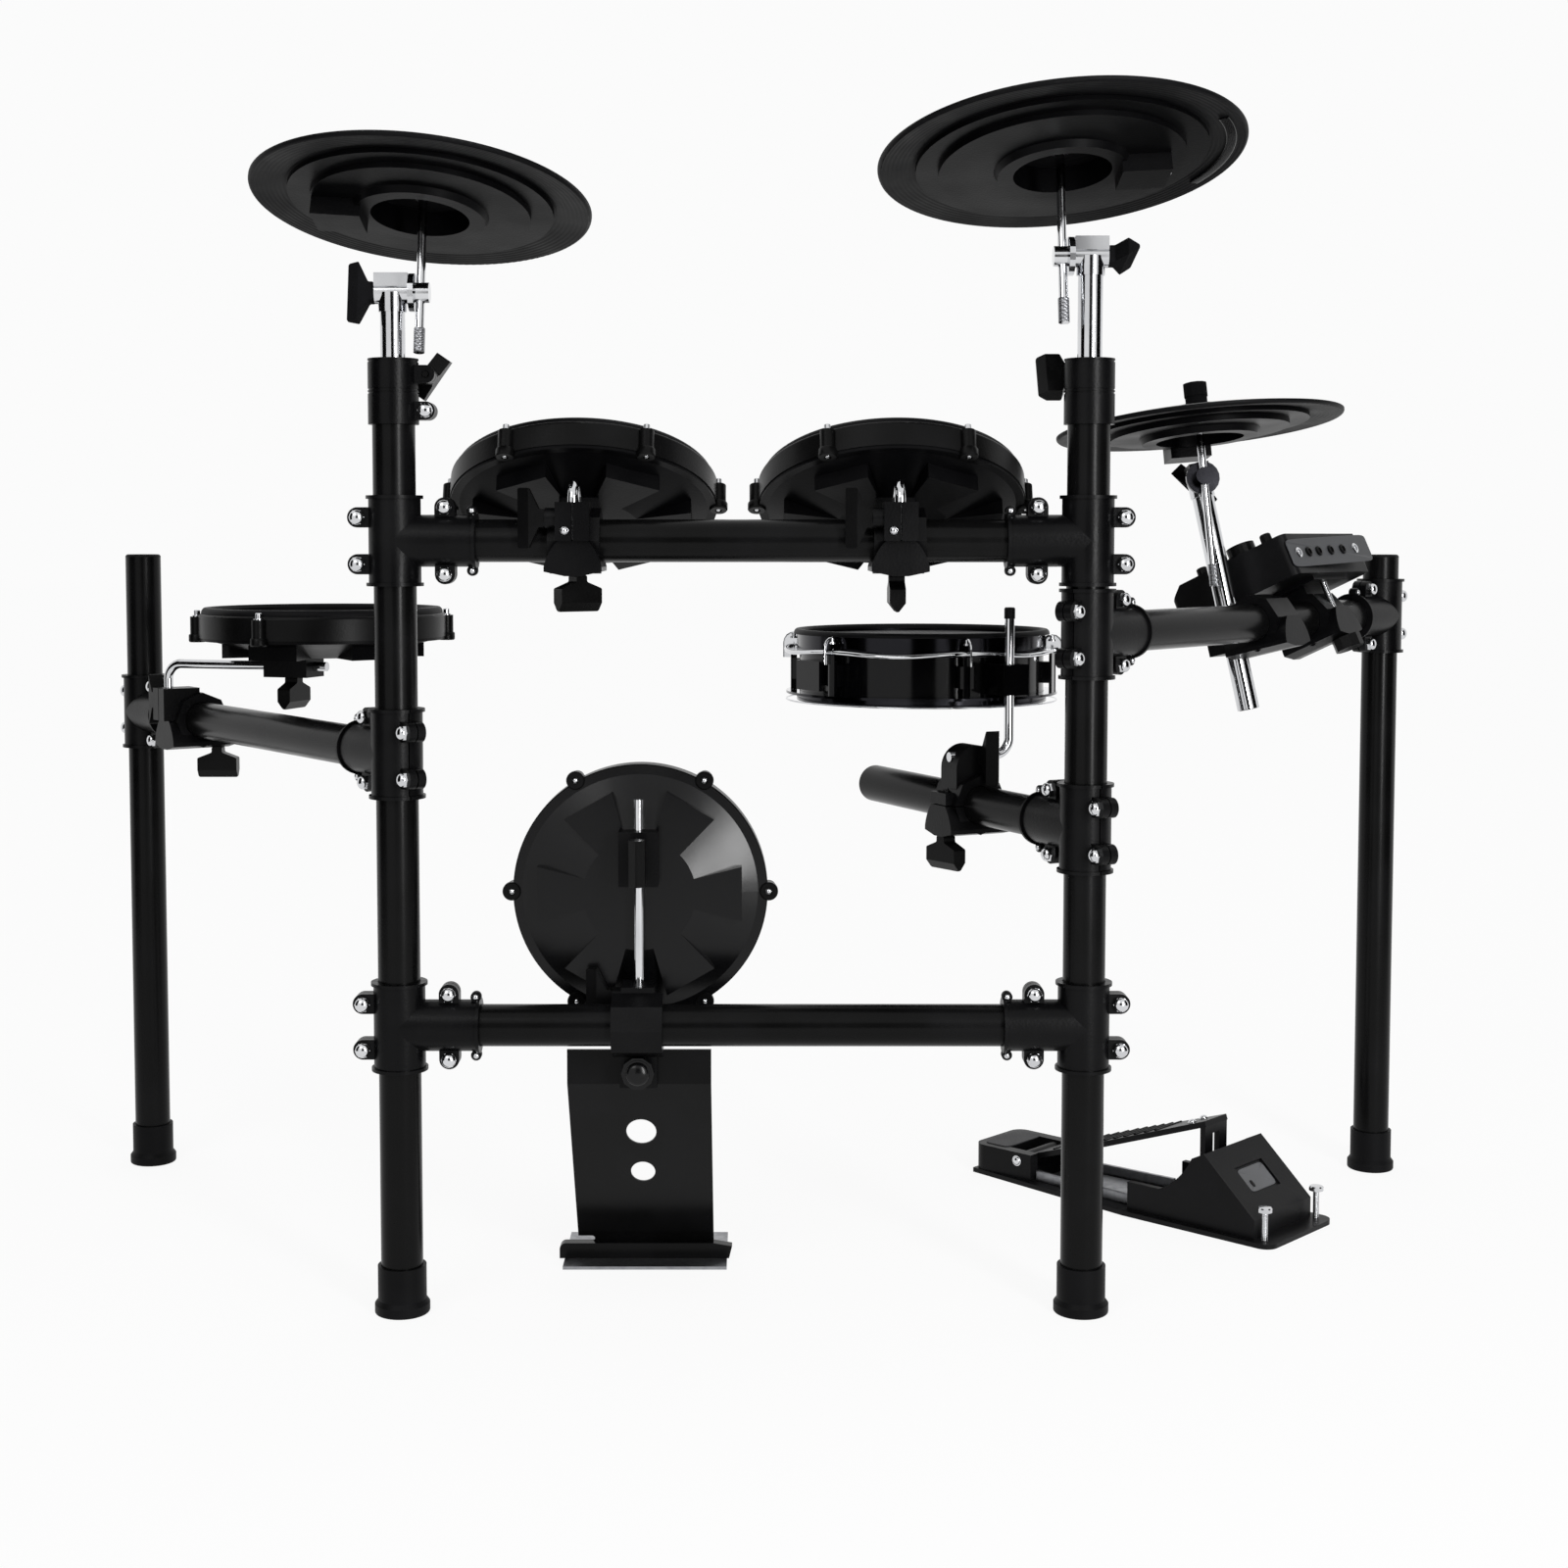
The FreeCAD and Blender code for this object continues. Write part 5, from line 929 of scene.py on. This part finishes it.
@dataclass
class Snare:
    """Snare drum with chromed hoops and a gloss shell.

    Attributes:
        lugs: Number of lugs and claws.
        claw_arch: Height at which a claw's legs start to bend.
        claw_ends: Heights of the outer and of the inner leg's end.
        hoop_radius: Of the flange that the claws hook over.
        band_radius: Of the upright band that they lean on.
        flange_rise: Mean height of the flange's bead.
        flange_wave: Rise of that bead at each claw.
        flange_thick: Radius of that bead.
        edge_thick: Radius of the bead on the lower hoop.
        edge_inset: From the flange's radius in to that bead.
        rod_tip: Length of the rod's end that gives its middle.
    """

    lugs: int = 6
    claw_width: float = 13.0
    claw_thick: float = 2.4
    claw_arch: float = 6.5
    claw_ends: Pair = (-9.0, 3.4)
    claw_bolt: Profile = ((0, 11.4), (4.2, 11.4), (4.2, 13.2), (2.6, 13.6), (2.6, 17.0), (0, 17.6))
    hoop_radius: float = 141.0
    band_radius: float = 130.0
    flange_rise: float = 1.6
    flange_wave: float = 1.6
    flange_thick: float = 2.2
    edge_thick: float = 0.9
    edge_inset: float = 0.4
    rod_cap: Profile = ((0, -8), (5.4, -8), (5.4, 2.0), (4.4, 3.2), (0, 3.4))
    rod_tip: float = 4.0

    def dress(self) -> None:
        """Paint the snare's solids."""
        paint("snare_rod", CHROME)
        paint("snare_shell", GLOSS_WRAP, ABS, FELT)
        paint("snare_hardware", CHROME, CHROME, GLOSS_WRAP)
        paint("snare_head", MESH_HEAD, RUBBER)
        # Painted reflection: the hoops' upright faces are darkened
        self._paint_hoop_reflection()

    def _paint_hoop_reflection(self) -> None:
        """Paint a dark reflection onto both chrome hoops: the darker metal goes where they face within 30
        degrees of level; edges stay bright.
        """
        points, faces = node_arrays("snare_hardware")
        corners = points[faces]
        slope = np.cross(corners[:, 1] - corners[:, 0], corners[:, 2] - corners[:, 0])
        upright = np.abs(slope[:, 2]) < 0.5 * np.linalg.norm(slope, axis=1)
        # Painted reflection: upright faces of both chrome hoops take the darker metal, edges stay chrome
        repaint("snare_hardware", upright & (solid_numbers("snare_hardware") < 2), DARK_NICKEL_AND_PAINTED_REFLECTION)

    def build(self) -> None:
        """Hook a claw over the top hoop at each lug, bead both hoops and cap the rod's end."""
        hoop = solid_points("snare_hardware", 0)
        centre = box_middle(hoop)
        centre[2] = hoop[:, 2].min()
        spots = []
        for number in range(2, 2 + self.lugs):
            lug = solid_points("snare_hardware", number).mean(axis=0)
            spots.append(Axes.facing(centre, UP, (lug - centre) * np.array([1.0, 1.0, 0.0])))
        claw, middle = self._claw()
        seats = [spot.shift(x=middle) for spot in spots]
        add_piece("snare_claws", CHROME, "snare", (claw, spots), (lathe(self.claw_bolt, 20), seats))
        drop = (centre[2] - solid_points("snare_hardware", 1)[:, 2].min()) / MM
        flange = bead(self.hoop_radius, self.flange_rise, self.flange_wave, self.flange_thick, self.lugs)
        lower = self.edge_thick - drop
        edge = bead(self.hoop_radius - self.edge_inset, lower, 0.0, self.edge_thick, self.lugs)
        add_piece("snare_hoop_beads", CHROME, "snare", (flange, spots[:1]), (edge, spots[:1]))
        points, _ = node_arrays("snare_rod")
        tip = points[points[:, 2] > points[:, 2].max() - self.rod_tip * MM]
        seat = Axes.facing(box_middle(tip), UP)
        add_piece("snare_rod_cap", ABS, "snare_rod", (lathe(self.rod_cap, 20), [seat]))

    def _claw(self) -> tuple[Patch, float]:
        """Bend a claw: a bar carried up the flange's edge, over it on a half circle and down to the band.

        Returns:
            The claw in a plane through the drum's axis, and the half circle's distance from that axis.
        """
        bend = np.linspace(0.0, TAU / 2, 9)
        middle = (self.hoop_radius + self.band_radius + self.claw_thick) / 2
        half = (self.hoop_radius - self.band_radius) / 2
        rise = self.claw_arch + half * np.sin(bend)
        arch = np.stack([middle + half * np.cos(bend), bend * 0.0, rise], axis=-1)
        outer, inner = self.claw_ends
        path = np.concatenate([[[middle + half, 0.0, outer]], arch, [[middle - half, 0.0, inner]]])
        bar = outline(self.claw_width, self.claw_thick, squareness=5.0, count=20)
        return sweep(path, bar, np.array([0.0, 1.0, 0.0])), middle


# Cymbals
@dataclass
class Cymbal:
    """One cymbal pad with its tilter and pole.

    Attributes:
        name: First word of its nodes.
        choke: True where a pressure strip runs under the rim.
        joint: Finish of the eye bolt that the cymbal tilts on.
        rod_radius: Of the plain rod with its clearance, in millimetres.
        ring_mm: From one turned ring of the cover to the next.
        jack_reach: From the axis to the outer face of the jack box.
        jack_rise: From the lowest point of the jack box to its socket.
        socket: Profile of that socket.
        choke_half: Half angle of the strip, in radians.
        choke_inset: From the rim to the strip's middle.
        choke_lift: Of the strip above the rim's underside.
    """

    name: str
    choke: bool = False
    joint: Finish = CHROME
    rod_radius: float = 4.3
    ring_mm: float = 4.0
    ring_relief: float = 0.12
    jack_reach: float = 94.0
    jack_rise: float = 9.0
    socket: Profile = ((0, -1), (6.2, -1), (6.2, 1.6), (5.2, 2.4), (3.6, 2.4), (3.3, 0.4), (0, 0.4))
    choke_half: float = 0.5
    choke_inset: float = 15.0
    choke_section: Pair = (9.0, 1.6)
    choke_lift: float = 0.4

    def dress(self) -> None:
        """Paint pole, tilter and cymbal; the cover gets rings round its own middle."""
        paint(f"{self.name}_pole", CHROME, CHROME, ABS)
        paint(f"{self.name}_tilter", self.joint, CHROME, CHROME, FELT, FELT, ABS, ABS)
        middle = principal(solid_faces(f"{self.name}_cymbal", 0)).origin
        # Pressed rubber of the cover: dull, with fine rings that catch the light at a low angle
        cover = replace(RUBBER, name=f"{self.name}_ringed_rubber", grain=Grain.RINGED, grain_mm=self.ring_mm,
                        relief_mm=self.ring_relief, centre=tuple(middle.tolist()))
        paint(f"{self.name}_cymbal", cover, SATIN_ABS)
        self._knurl()

    def _knurl(self) -> None:
        """Repaint the grip at the rod's foot, which stands proud of the plain rod."""
        node = f"{self.name}_tilter"
        points, faces = node_arrays(node)
        corners = points[faces]
        rod = solid_numbers(node) == 1
        _, away = principal(corners[rod]).about_length(corners.mean(axis=1))
        repaint(node, rod & (away > self.rod_radius * MM), KNURLED_STEEL)

    def build(self) -> None:
        """Put the socket into the jack box and, where there is one, the strip under the rim."""
        node = f"{self.name}_cymbal"
        cover = solid_faces(node, 0)
        shell = solid_faces(node, 1)
        place = upward(principal(cover), UP)
        lean = place.local(principal(shell).origin[None])[0]
        to_jack = place.about_z(math.degrees(math.atan2(lean[1], lean[0])))
        lowest = to_jack.local(shell.reshape(-1, 3))[:, 2].min()
        face = to_jack.shift(x=self.jack_reach, z=lowest + self.jack_rise)
        seat = Axes.facing(face.origin, face.turn[0], face.turn[1])
        add_piece(f"{self.name}_jack_socket", CHROME, node, (lathe(self.socket, 24), [seat]))
        if self.choke:
            self._choke(place, cover)

    def _choke(self, place: Axes, cover: np.ndarray) -> None:
        """Lay a thin strip along an arc under the rim, whose underside is found in its outer 4 mm.

        Args:
            place: Middle of the cymbal, z up.
            cover: Triangles of the cover.
        """
        seen = place.local(cover.reshape(-1, 3))
        radius = np.hypot(seen[:, 0], seen[:, 1])
        under = seen[radius > radius.max() - 4.0, 2].min()
        turn = np.linspace(-self.choke_half, self.choke_half, 25)
        reach = radius.max() - self.choke_inset
        level = turn * 0.0 + under + self.choke_lift
        path = np.stack([reach * np.cos(turn), reach * np.sin(turn), level], axis=-1)
        strip = sweep(path, outline(*self.choke_section, squareness=6.0, count=16))
        add_piece(f"{self.name}_choke_strip", GLOSS_ABS, f"{self.name}_cymbal", (strip, [place]))


# Sound module
@dataclass
class SoundModule:
    """Sound module on its arm clamp.

    Attributes:
        border: Black edge left round the socket panel, in millimetres.
        panel_trim: Further width taken off the panel.
        panel_edge: Thickness, chamfer and squareness of the panel.
        panel_sink: How far it lies in the case.
        sockets: Places of the sockets along the panel, as shares of its half width.
        socket_rise: Of their feet above the case.
        display_at: Place of the display from the keypad's middle and from the case's top.
        button_x: Places of the buttons along their row.
        button_at: Place of the row across the case, and how far a button sinks in.
        knob_x: Place of both level knobs along the case.
        knob_y: Their places across it.
        screw_radius: Of the clamp's thread.
        screw_ends: From the screw's head to the start of the thread, and what the thread is shorter by.
    """

    border: float = 7.0
    panel_trim: float = 8.0
    panel_edge: Triple = (1.4, 0.4, 12.0)
    panel_sink: float = 0.2
    sockets: tuple[float, ...] = (-0.8, -0.55, -0.3, 0.0, 0.3, 0.62)
    socket_rise: float = 1.0
    socket: Profile = ((0, 0), (5.4, 0), (5.4, 1.4), (4.4, 2.0), (3.2, 2.0), (3.0, 0.6), (0, 0.6))
    display: tuple[float, ...] = (76.0, 26.0, 1.6, 0.5, 10.0)
    display_at: Triple = (0.0, 40.0, -0.3)
    button: tuple[float, ...] = (9.0, 6.0, 3.0, 0.7, 4.0)
    button_x: tuple[float, ...] = (-32.0, -16.0, 0.0, 16.0, 32.0)
    button_at: Pair = (-28.0, -0.4)
    knob: Profile = ((0, -0.4), (7.5, -0.4), (7.5, 2.0), (6.2, 3.0), (5.8, 11.0), (4.8, 12.0), (0, 12.0))
    knob_x: float = -88.0
    knob_y: Pair = (46.0, -38.0)
    screw_radius: float = 3.25
    screw_ends: Pair = (13.0, 13.5)

    def dress(self) -> None:
        """Paint the module's solids."""
        paint("module_case", CASE_ABS)
        paint("module_bracket", NYLON, ABS)
        paint("module_dial", ABS)
        paint("module_keypad", RUBBER)

    def build(self) -> None:
        """Add the socket panel, the display, small controls and the clamp's threaded screw."""
        keypad = upward(principal(solid_faces("module_keypad", 0)), UP)
        outwards = np.array([1.0, 1.0, 0.0])
        sign = 1.0 if keypad.turn[0] @ outwards > 0 else -1.0
        place = Axes.facing(keypad.origin, keypad.turn[2], keypad.turn[0] * sign)
        case = place.local(solid_points("module_case", 0))
        low, high = case.min(axis=0), case.max(axis=0)
        self._panel(place, low, high)
        top = place.shift(z=high[2])
        add_piece("module_display", ACRYLIC, "module", (slab(*self.display), [top.shift(*self.display_at)]))
        row = [top.shift(x, *self.button_at) for x in self.button_x]
        add_piece("module_buttons", GREY_SHEET, "module", (slab(*self.button), row))
        knobs = [top.shift(self.knob_x, y) for y in self.knob_y]
        add_piece("module_level_knobs", ABS, "module", (lathe(self.knob, 24), knobs))
        start, shorter = self.screw_ends
        seat = bolt_heads("module_bracket", [1])[0].shift(z=-start).about_x(180.0)
        length = np.ptp(seat.local(solid_points("module_bracket", 1))[:, 2]) - shorter
        add_piece("module_clamp_thread", CHROME, "module", (thread(self.screw_radius, length), [seat]))

    def _panel(self, place: Axes, low: np.ndarray, high: np.ndarray) -> None:
        """Lay the socket panel on the case's rear and fit its sockets, the outer two of metal.

        Args:
            place: The keypad's middle, x along the case and z out of its top.
            low: Lowest corner of the case from there, in millimetres.
            high: Its highest corner.
        """
        middle = (low + high) / 2
        rear = place.shift(middle[0], low[1], middle[2])
        rear = Axes.facing(rear.origin, -place.turn[1], place.turn[0])
        width = high[0] - low[0] - 2 * self.border - self.panel_trim
        height = high[2] - low[2] - 2 * self.border
        panel = slab(width, height, *self.panel_edge)
        add_piece("module_socket_panel", PANEL_PAINT, "module", (panel, [rear.shift(z=-self.panel_sink)]))
        seats = [rear.shift(x=share * width / 2, z=self.socket_rise) for share in self.sockets]
        ring = lathe(self.socket, 24)
        add_piece("module_sockets", ABS, "module", (ring, seats[1:-1]))
        add_piece("module_socket_nuts", CHROME, "module", (ring, [seats[0], seats[-1]]))


# Hi-hat pedal
@dataclass
class HiHatPedal:
    """Free-standing hi-hat pedal.

    Attributes:
        pin_y: From the heel to the hinge pin, in millimetres.
        pin_z: Height of the pin.
        rest_deg: Angle of the footboard at rest.
        heel_half: From the middle to the heel block's side.
        rail: Width and height of a rail of the channel.
        rail_y: Places of a rail's three points from the heel.
        rail_x: Their places from the middle.
        tray: Floor of the channel.
        mat: Ribbed mat on the heel block.
        mat_sink: How far it sinks into that block.
        ribs: First rib on the footboard, last rib and their number.
        rib: Width and height of a rib.
        rib_z: Height of the ribs over the hinge pin's plane.
        rib_inset: From the board's edge to a rib's end.
        board_y: Places along the board at which its half width is given.
        board_half: Its half width there.
        strap_at: Place of the strap's screws from the middle, along the board and above it.
        panel_y: Upper and lower end of the sloping panel, from the heel.
        panel_z: Heights of those ends.
        window_sink: How far the window plate lies under the panel.
        slot_at: Place of the slot's plate from the panel's middle.
        level_at: Place of a levelling screw's foot.
        level_thread: Radius and length of its thread.
    """

    pin_y: float = 60.0
    pin_z: float = 24.0
    rest_deg: float = 19.0
    heel_half: float = 42.0
    heel_screw: Triple = (4.6, 2.6, 5.6)
    rail: Pair = (5.0, 11.0)
    rail_y: tuple[float, ...] = (82.0, 146.0, 208.0)
    rail_x: tuple[float, ...] = (34.0, 37.4, 40.8)
    rail_z: float = 10.6
    tray: tuple[float, ...] = (60.0, 126.0, 1.4, 0.3, 14.0)
    tray_at: Triple = (0.0, 145.0, 4.9)
    mat: tuple[float, ...] = (66.0, 34.0, 1.4, 0.4, 6.0)
    mat_y: float = 24.0
    mat_sink: float = 0.5
    ribs: tuple[float, float, int] = (40.0, 176.0, 12)
    rib: Pair = (4.0, 2.4)
    rib_z: float = 3.2
    rib_inset: float = 5.0
    board_y: tuple[float, ...] = (18.0, 118.0, 236.0)
    board_half: tuple[float, ...] = (27.0, 37.0, 21.0)
    strap_screw: Triple = (4.0, 3.0, 5.0)
    strap_at: Triple = (11.0, 214.0, 3.0)
    panel_y: Pair = (303.0, 362.0)
    panel_z: Pair = (80.0, 24.0)
    window: tuple[float, ...] = (47.0, 27.0, 1.0, 0.3, 9.0)
    window_sink: float = 2.2
    slot: tuple[float, ...] = (4.6, 8.0, 0.8, 0.3, 4.0)
    slot_at: Triple = (15.0, 5.0, -1.3)
    level_at: Triple = (51.0, 371.0, 5.0)
    level_thread: Pair = (3.3, 29.5)
    level_head: Profile = ((0, 29), (7.4, 29), (7.4, 32.4), (6.4, 33.6), (0, 34.0))

    def dress(self) -> None:
        """Paint the pedal's solids."""
        paint("pedal_base", CAST_PAINT, CAST_PAINT, CHROME)
        paint("pedal_footboard", CAST_PAINT)

    def build(self) -> None:
        """Add the footboard's and the housing's fittings, the heel's screws and mat and the pale channel."""
        joints = frame["record"]["behaviour"]["joints"]
        joint = next(entry for entry in joints if entry["name"] == "footboard_press")
        heel = solid_points("pedal_base", 1)
        forward = solid_points("pedal_base", 0).mean(axis=0) - heel.mean(axis=0)
        across = np.array(joint["axis"])
        across = across if np.cross(UP, across) @ forward > 0 else -across
        hinge = Axes.facing(np.array(joint["pos_m"]), UP, across)
        place = hinge.shift(y=-self.pin_y, z=-self.pin_z)
        self._footboard(hinge.about_x(self.rest_deg))
        self._housing(place)
        sides = [Axes.facing(hinge.shift(x=side * self.heel_half).origin, across * side) for side in SIDES]
        add_piece("pedal_heel_screws", CHROME, "rack", (dome(*self.heel_screw), sides))
        section = outline(*self.rail, squareness=8.0, count=20)
        level = np.full(len(self.rail_x), self.rail_z)
        paths = [np.stack([side * np.array(self.rail_x), self.rail_y, level], axis=-1) for side in SIDES]
        rails = [(sweep(path, section), [place]) for path in paths]
        tray = (slab(*self.tray), [place.shift(*self.tray_at)])
        add_piece("pedal_channel", GALVANISED, "rack", *rails, tray)
        top = place.local(heel)[:, 2].max()
        mat = (slab(*self.mat), [place.shift(0.0, self.mat_y, top - self.mat_sink)])
        add_piece("pedal_heel_mat", HEEL_MAT, "rack", mat)

    def _footboard(self, board: Axes) -> None:
        """Lay half-round grip ribs across the footboard and set the strap's screws.

        Args:
            board: The hinge pin, x along it and y up the board.
        """
        reach = np.linspace(*self.ribs)
        half = np.interp(reach, self.board_y, self.board_half) - self.rib_inset
        # One row per rib: its left end, middle and right end
        across = half[:, None] * np.array([-1.0, 0.0, 1.0])
        ahead = np.broadcast_to(reach[:, None], across.shape)
        paths = np.stack([across, ahead, np.full(across.shape, self.rib_z)], axis=-1)
        section = outline(*self.rib, squareness=2.4, count=12)
        ribs = [(sweep(path, section), [board]) for path in paths]
        add_piece("footboard_grip_ribs", RUBBER, "footboard", *ribs)
        x, y, z = self.strap_at
        seats = [board.shift(side * x, y, z) for side in SIDES]
        add_piece("footboard_strap_screws", CHROME, "footboard", (dome(*self.strap_screw), seats))

    def _housing(self, place: Axes) -> None:
        """Fit the window plate into the sloping panel, with a small slot, and thread the levelling screws.

        Args:
            place: Middle of the heel on the floor, y to the toe.
        """
        lean = math.degrees(math.atan2(self.panel_z[0] - self.panel_z[1], self.panel_y[1] - self.panel_y[0]))
        panel = place.shift(0.0, sum(self.panel_y) / 2, sum(self.panel_z) / 2).about_x(-lean)
        plate = (slab(*self.window), [panel.shift(z=-self.window_sink)])
        add_piece("pedal_window", GREY_SHEET, "rack", plate)
        add_piece("pedal_window_slot", ABS, "rack", (slab(*self.slot), [panel.shift(*self.slot_at)]))
        x, y, z = self.level_at
        feet = [place.shift(side * x, y, z) for side in SIDES]
        screws = ((thread(*self.level_thread), feet), (lathe(self.level_head, 20), feet))
        add_piece("pedal_level_screws", CHROME, "rack", *screws)


# Studio
@dataclass(frozen=True)
class Lamp:
    """Attributes:
        name: What it is.
        spot: Its place in metres.
        size: Width and height in metres.
        watts: Its power.
    """

    name: str
    spot: Triple
    size: Pair
    watts: float


@dataclass
class Studio:
    """Pale floor, even studio light and the camera.

    Attributes:
        focal_px: Focal length in pixels of the square frame.
        frame_px: Side of the frame in pixels.
        centre_px: Where the lens axis meets the frame.
        camera_mm: Camera from the point on the floor midway between the front uprights.
        pitch_deg: How far the camera looks down.
        sensor_mm: Width of the sensor.
        sight_m: How far the camera sees.
        floor_mm: Side of the floor sheet.
        ambient: Strength of the surroundings as light.
        backdrop: Strength at which the eye, and metal, sees them.
        glow: Share of that backdrop in the floor.
        lamps: A tall strip to the right of the lens and a soft box on the left.
        aim_m: Point that the lamps face.
        card_away: From the middle to a black card, in metres.
        card_m: Near edge, far edge and top of a card, in metres.
        lens_card_m: Half width and place of the card behind the lens, in metres.
    """

    focal_px: float = 2290.0
    frame_px: float = 1600.0
    centre_px: Pair = (768.0, 695.0)
    camera_mm: Triple = (10.0, -2004.7, 705.3)
    pitch_deg: float = 3.7
    sensor_mm: float = 36.0
    sight_m: float = 100.0
    floor_mm: float = 60000.0
    ambient: float = 0.7
    backdrop: float = 0.965
    glow: float = 0.9
    lamps: tuple[Lamp, ...] = (Lamp("strip", (1.5, -2.7, 1.1), (0.45, 2.0), 62.0),
                               Lamp("soft_box", (-1.4, -2.4, 2.3), (1.2, 1.2), 18.0))
    aim_m: Triple = (0.0, 0.0, 0.6)
    card_away: float = 2.1
    card_m: Triple = (-1.5, 0.2, 2.2)
    lens_card_m: Pair = (0.9, -4.4)

    def build(self) -> None:
        """Make the floor, the light, the black cards and the camera."""
        self._floor()
        self._light()
        self._cards()
        self._camera()

    def _seen(self, tree: bpy.types.NodeTree) -> bpy.types.NodeSocket:
        """Add the test for rays that show the backdrop: those of the eye, of metal and of glass.

        Args:
            tree: Node tree of the floor or the world.

        Returns:
            Output that is 1 for such a ray and 0 for others.
        """
        rays = add_node(tree, "LightPath", {}, {}).outputs
        most = {"operation": "MAXIMUM"}
        shiny = add_node(tree, "Math", most, {0: rays["Is Glossy Ray"], 1: rays["Is Transmission Ray"]})
        both = {0: rays["Is Camera Ray"], 1: shiny.outputs["Value"]}
        return add_node(tree, "Math", most, both).outputs["Value"]

    def _floor(self) -> None:
        """Lay a large pale floor that shows as the backdrop but keeps the object's shadow."""
        half = self.floor_mm * MM / 2
        corners = [(-half, -half, 0.0), (half, -half, 0.0), (half, half, 0.0), (-half, half, 0.0)]
        mesh = bpy.data.meshes.new("floor")
        mesh.from_pydata(corners, [], [(0, 1, 2, 3)])
        floor = show("floor", mesh)
        # Matt white paper: pale, even, without any shine
        material = bpy.data.materials.new("white_paper_sweep")
        material.use_nodes = True
        tree = material.node_tree
        paper = tree.nodes["Principled BSDF"]
        paper.inputs["Base Color"].default_value = linear("f4f4f4")
        paper.inputs["Roughness"].default_value = 0.95
        paper.inputs["Specular IOR Level"].default_value = 0.0
        light = add_node(tree, "Emission", {"=Color": linear("ffffff"), "=Strength": 1.0}, {})
        limits = {"=To Min": 0.0, "=To Max": self.glow}
        share = add_node(tree, "MapRange", limits, {"Value": self._seen(tree)})
        mixed = {0: share.outputs["Result"], 1: paper.outputs["BSDF"], 2: light.outputs["Emission"]}
        blend = add_node(tree, "MixShader", {}, mixed)
        tree.links.new(blend.outputs["Shader"], tree.nodes["Material Output"].inputs["Surface"])
        mesh.materials.append(material)

    def _light(self) -> None:
        """Give even white surroundings and set up the lamps."""
        world = bpy.data.worlds.new("studio")
        bpy.context.scene.world = world
        world.use_nodes = True
        tree = world.node_tree
        sky = tree.nodes["Background"]
        sky.inputs["Color"].default_value = linear("ffffff")
        levels = {"=To Min": self.ambient, "=To Max": self.backdrop}
        level = add_node(tree, "MapRange", levels, {"Value": self._seen(tree)})
        tree.links.new(level.outputs["Result"], sky.inputs["Strength"])
        for lamp in self.lamps:
            light = bpy.data.lights.new(lamp.name, "AREA")
            light.shape = "RECTANGLE"
            light.size, light.size_y = lamp.size
            light.energy = lamp.watts
            holder = show(lamp.name, light)
            holder.location = lamp.spot
            aim = Vector(self.aim_m) - Vector(lamp.spot)
            holder.rotation_euler = aim.to_track_quat("-Z", "Y").to_euler()

    def _cards(self) -> None:
        """Stand black cards at both sides and behind the lens, for the dark bands in the chrome."""
        # Black velvet: swallows the light, so that metal has something dark to show
        velvet = bpy.data.materials.new("black_velvet_card")
        velvet.use_nodes = True
        shader = velvet.node_tree.nodes["Principled BSDF"]
        shader.inputs["Base Color"].default_value = linear("0c0c0c")
        shader.inputs["Roughness"].default_value = 1.0
        shader.inputs["Specular IOR Level"].default_value = 0.0
        near, far, top = self.card_m
        feet = {
            "left_card": ((-self.card_away, near), (-self.card_away, far)),
            "right_card": ((self.card_away, near), (self.card_away, far)),
            "lens_card": ((-self.lens_card_m[0], self.lens_card_m[1]), self.lens_card_m),
        }
        for name, (start, end) in feet.items():
            mesh = bpy.data.meshes.new(name)
            corners = [(*start, 0.0), (*end, 0.0), (*end, top), (*start, top)]
            mesh.from_pydata(corners, [], [(0, 1, 2, 3)])
            mesh.materials.append(velvet)
            card = show(name, mesh)
            card.visible_camera = False

    def _camera(self) -> None:
        """Put the camera where the lens stood, with its off-centre frame as shift."""
        left, right = np.array(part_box("left_upright")), np.array(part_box("right_upright"))
        middle = (left.mean(axis=0) + right.mean(axis=0)) / 2
        lens = bpy.data.cameras.new("camera")
        lens.sensor_width = self.sensor_mm
        lens.lens = self.focal_px / self.frame_px * lens.sensor_width
        lens.shift_x = (self.frame_px / 2 - self.centre_px[0]) / self.frame_px
        lens.shift_y = (self.centre_px[1] - self.frame_px / 2) / self.frame_px
        lens.clip_end = self.sight_m
        camera = show("camera", lens)
        across, along, up = (value * MM for value in self.camera_mm)
        camera.location = (middle[0] + across, middle[1] + along, up)
        camera.rotation_euler = (math.radians(90.0 - self.pitch_deg), 0.0, 0.0)
        bpy.context.scene.camera = camera


def main() -> None:
    """Dress every sub-assembly, add its small pieces and light the studio."""
    logging.basicConfig(level=logging.INFO, format="%(name)s: %(message)s")
    bpy.context.scene.view_settings.view_transform = "Standard"
    parts = [
        Rack(),
        DrumPad("left_tom", "left_tom", "left_tom_rod"),
        DrumPad("right_tom", "right_tom", "right_tom_rod"),
        DrumPad("floor_tom", "floor_tom", "floor_tom_rod"),
        DrumPad("kick", "kick_pad", "", bowl=GLOSS_ABS),
        Snare(),
        Cymbal("crash"),
        Cymbal("ride", choke=True),
        Cymbal("hihat", joint=DARK_NICKEL_AND_PAINTED_REFLECTION),
        SoundModule(),
        HiHatPedal(),
    ]
    for part in parts:
        part.dress()
        part.build()
    Studio().build()


if __name__ == "__main__":
    main()
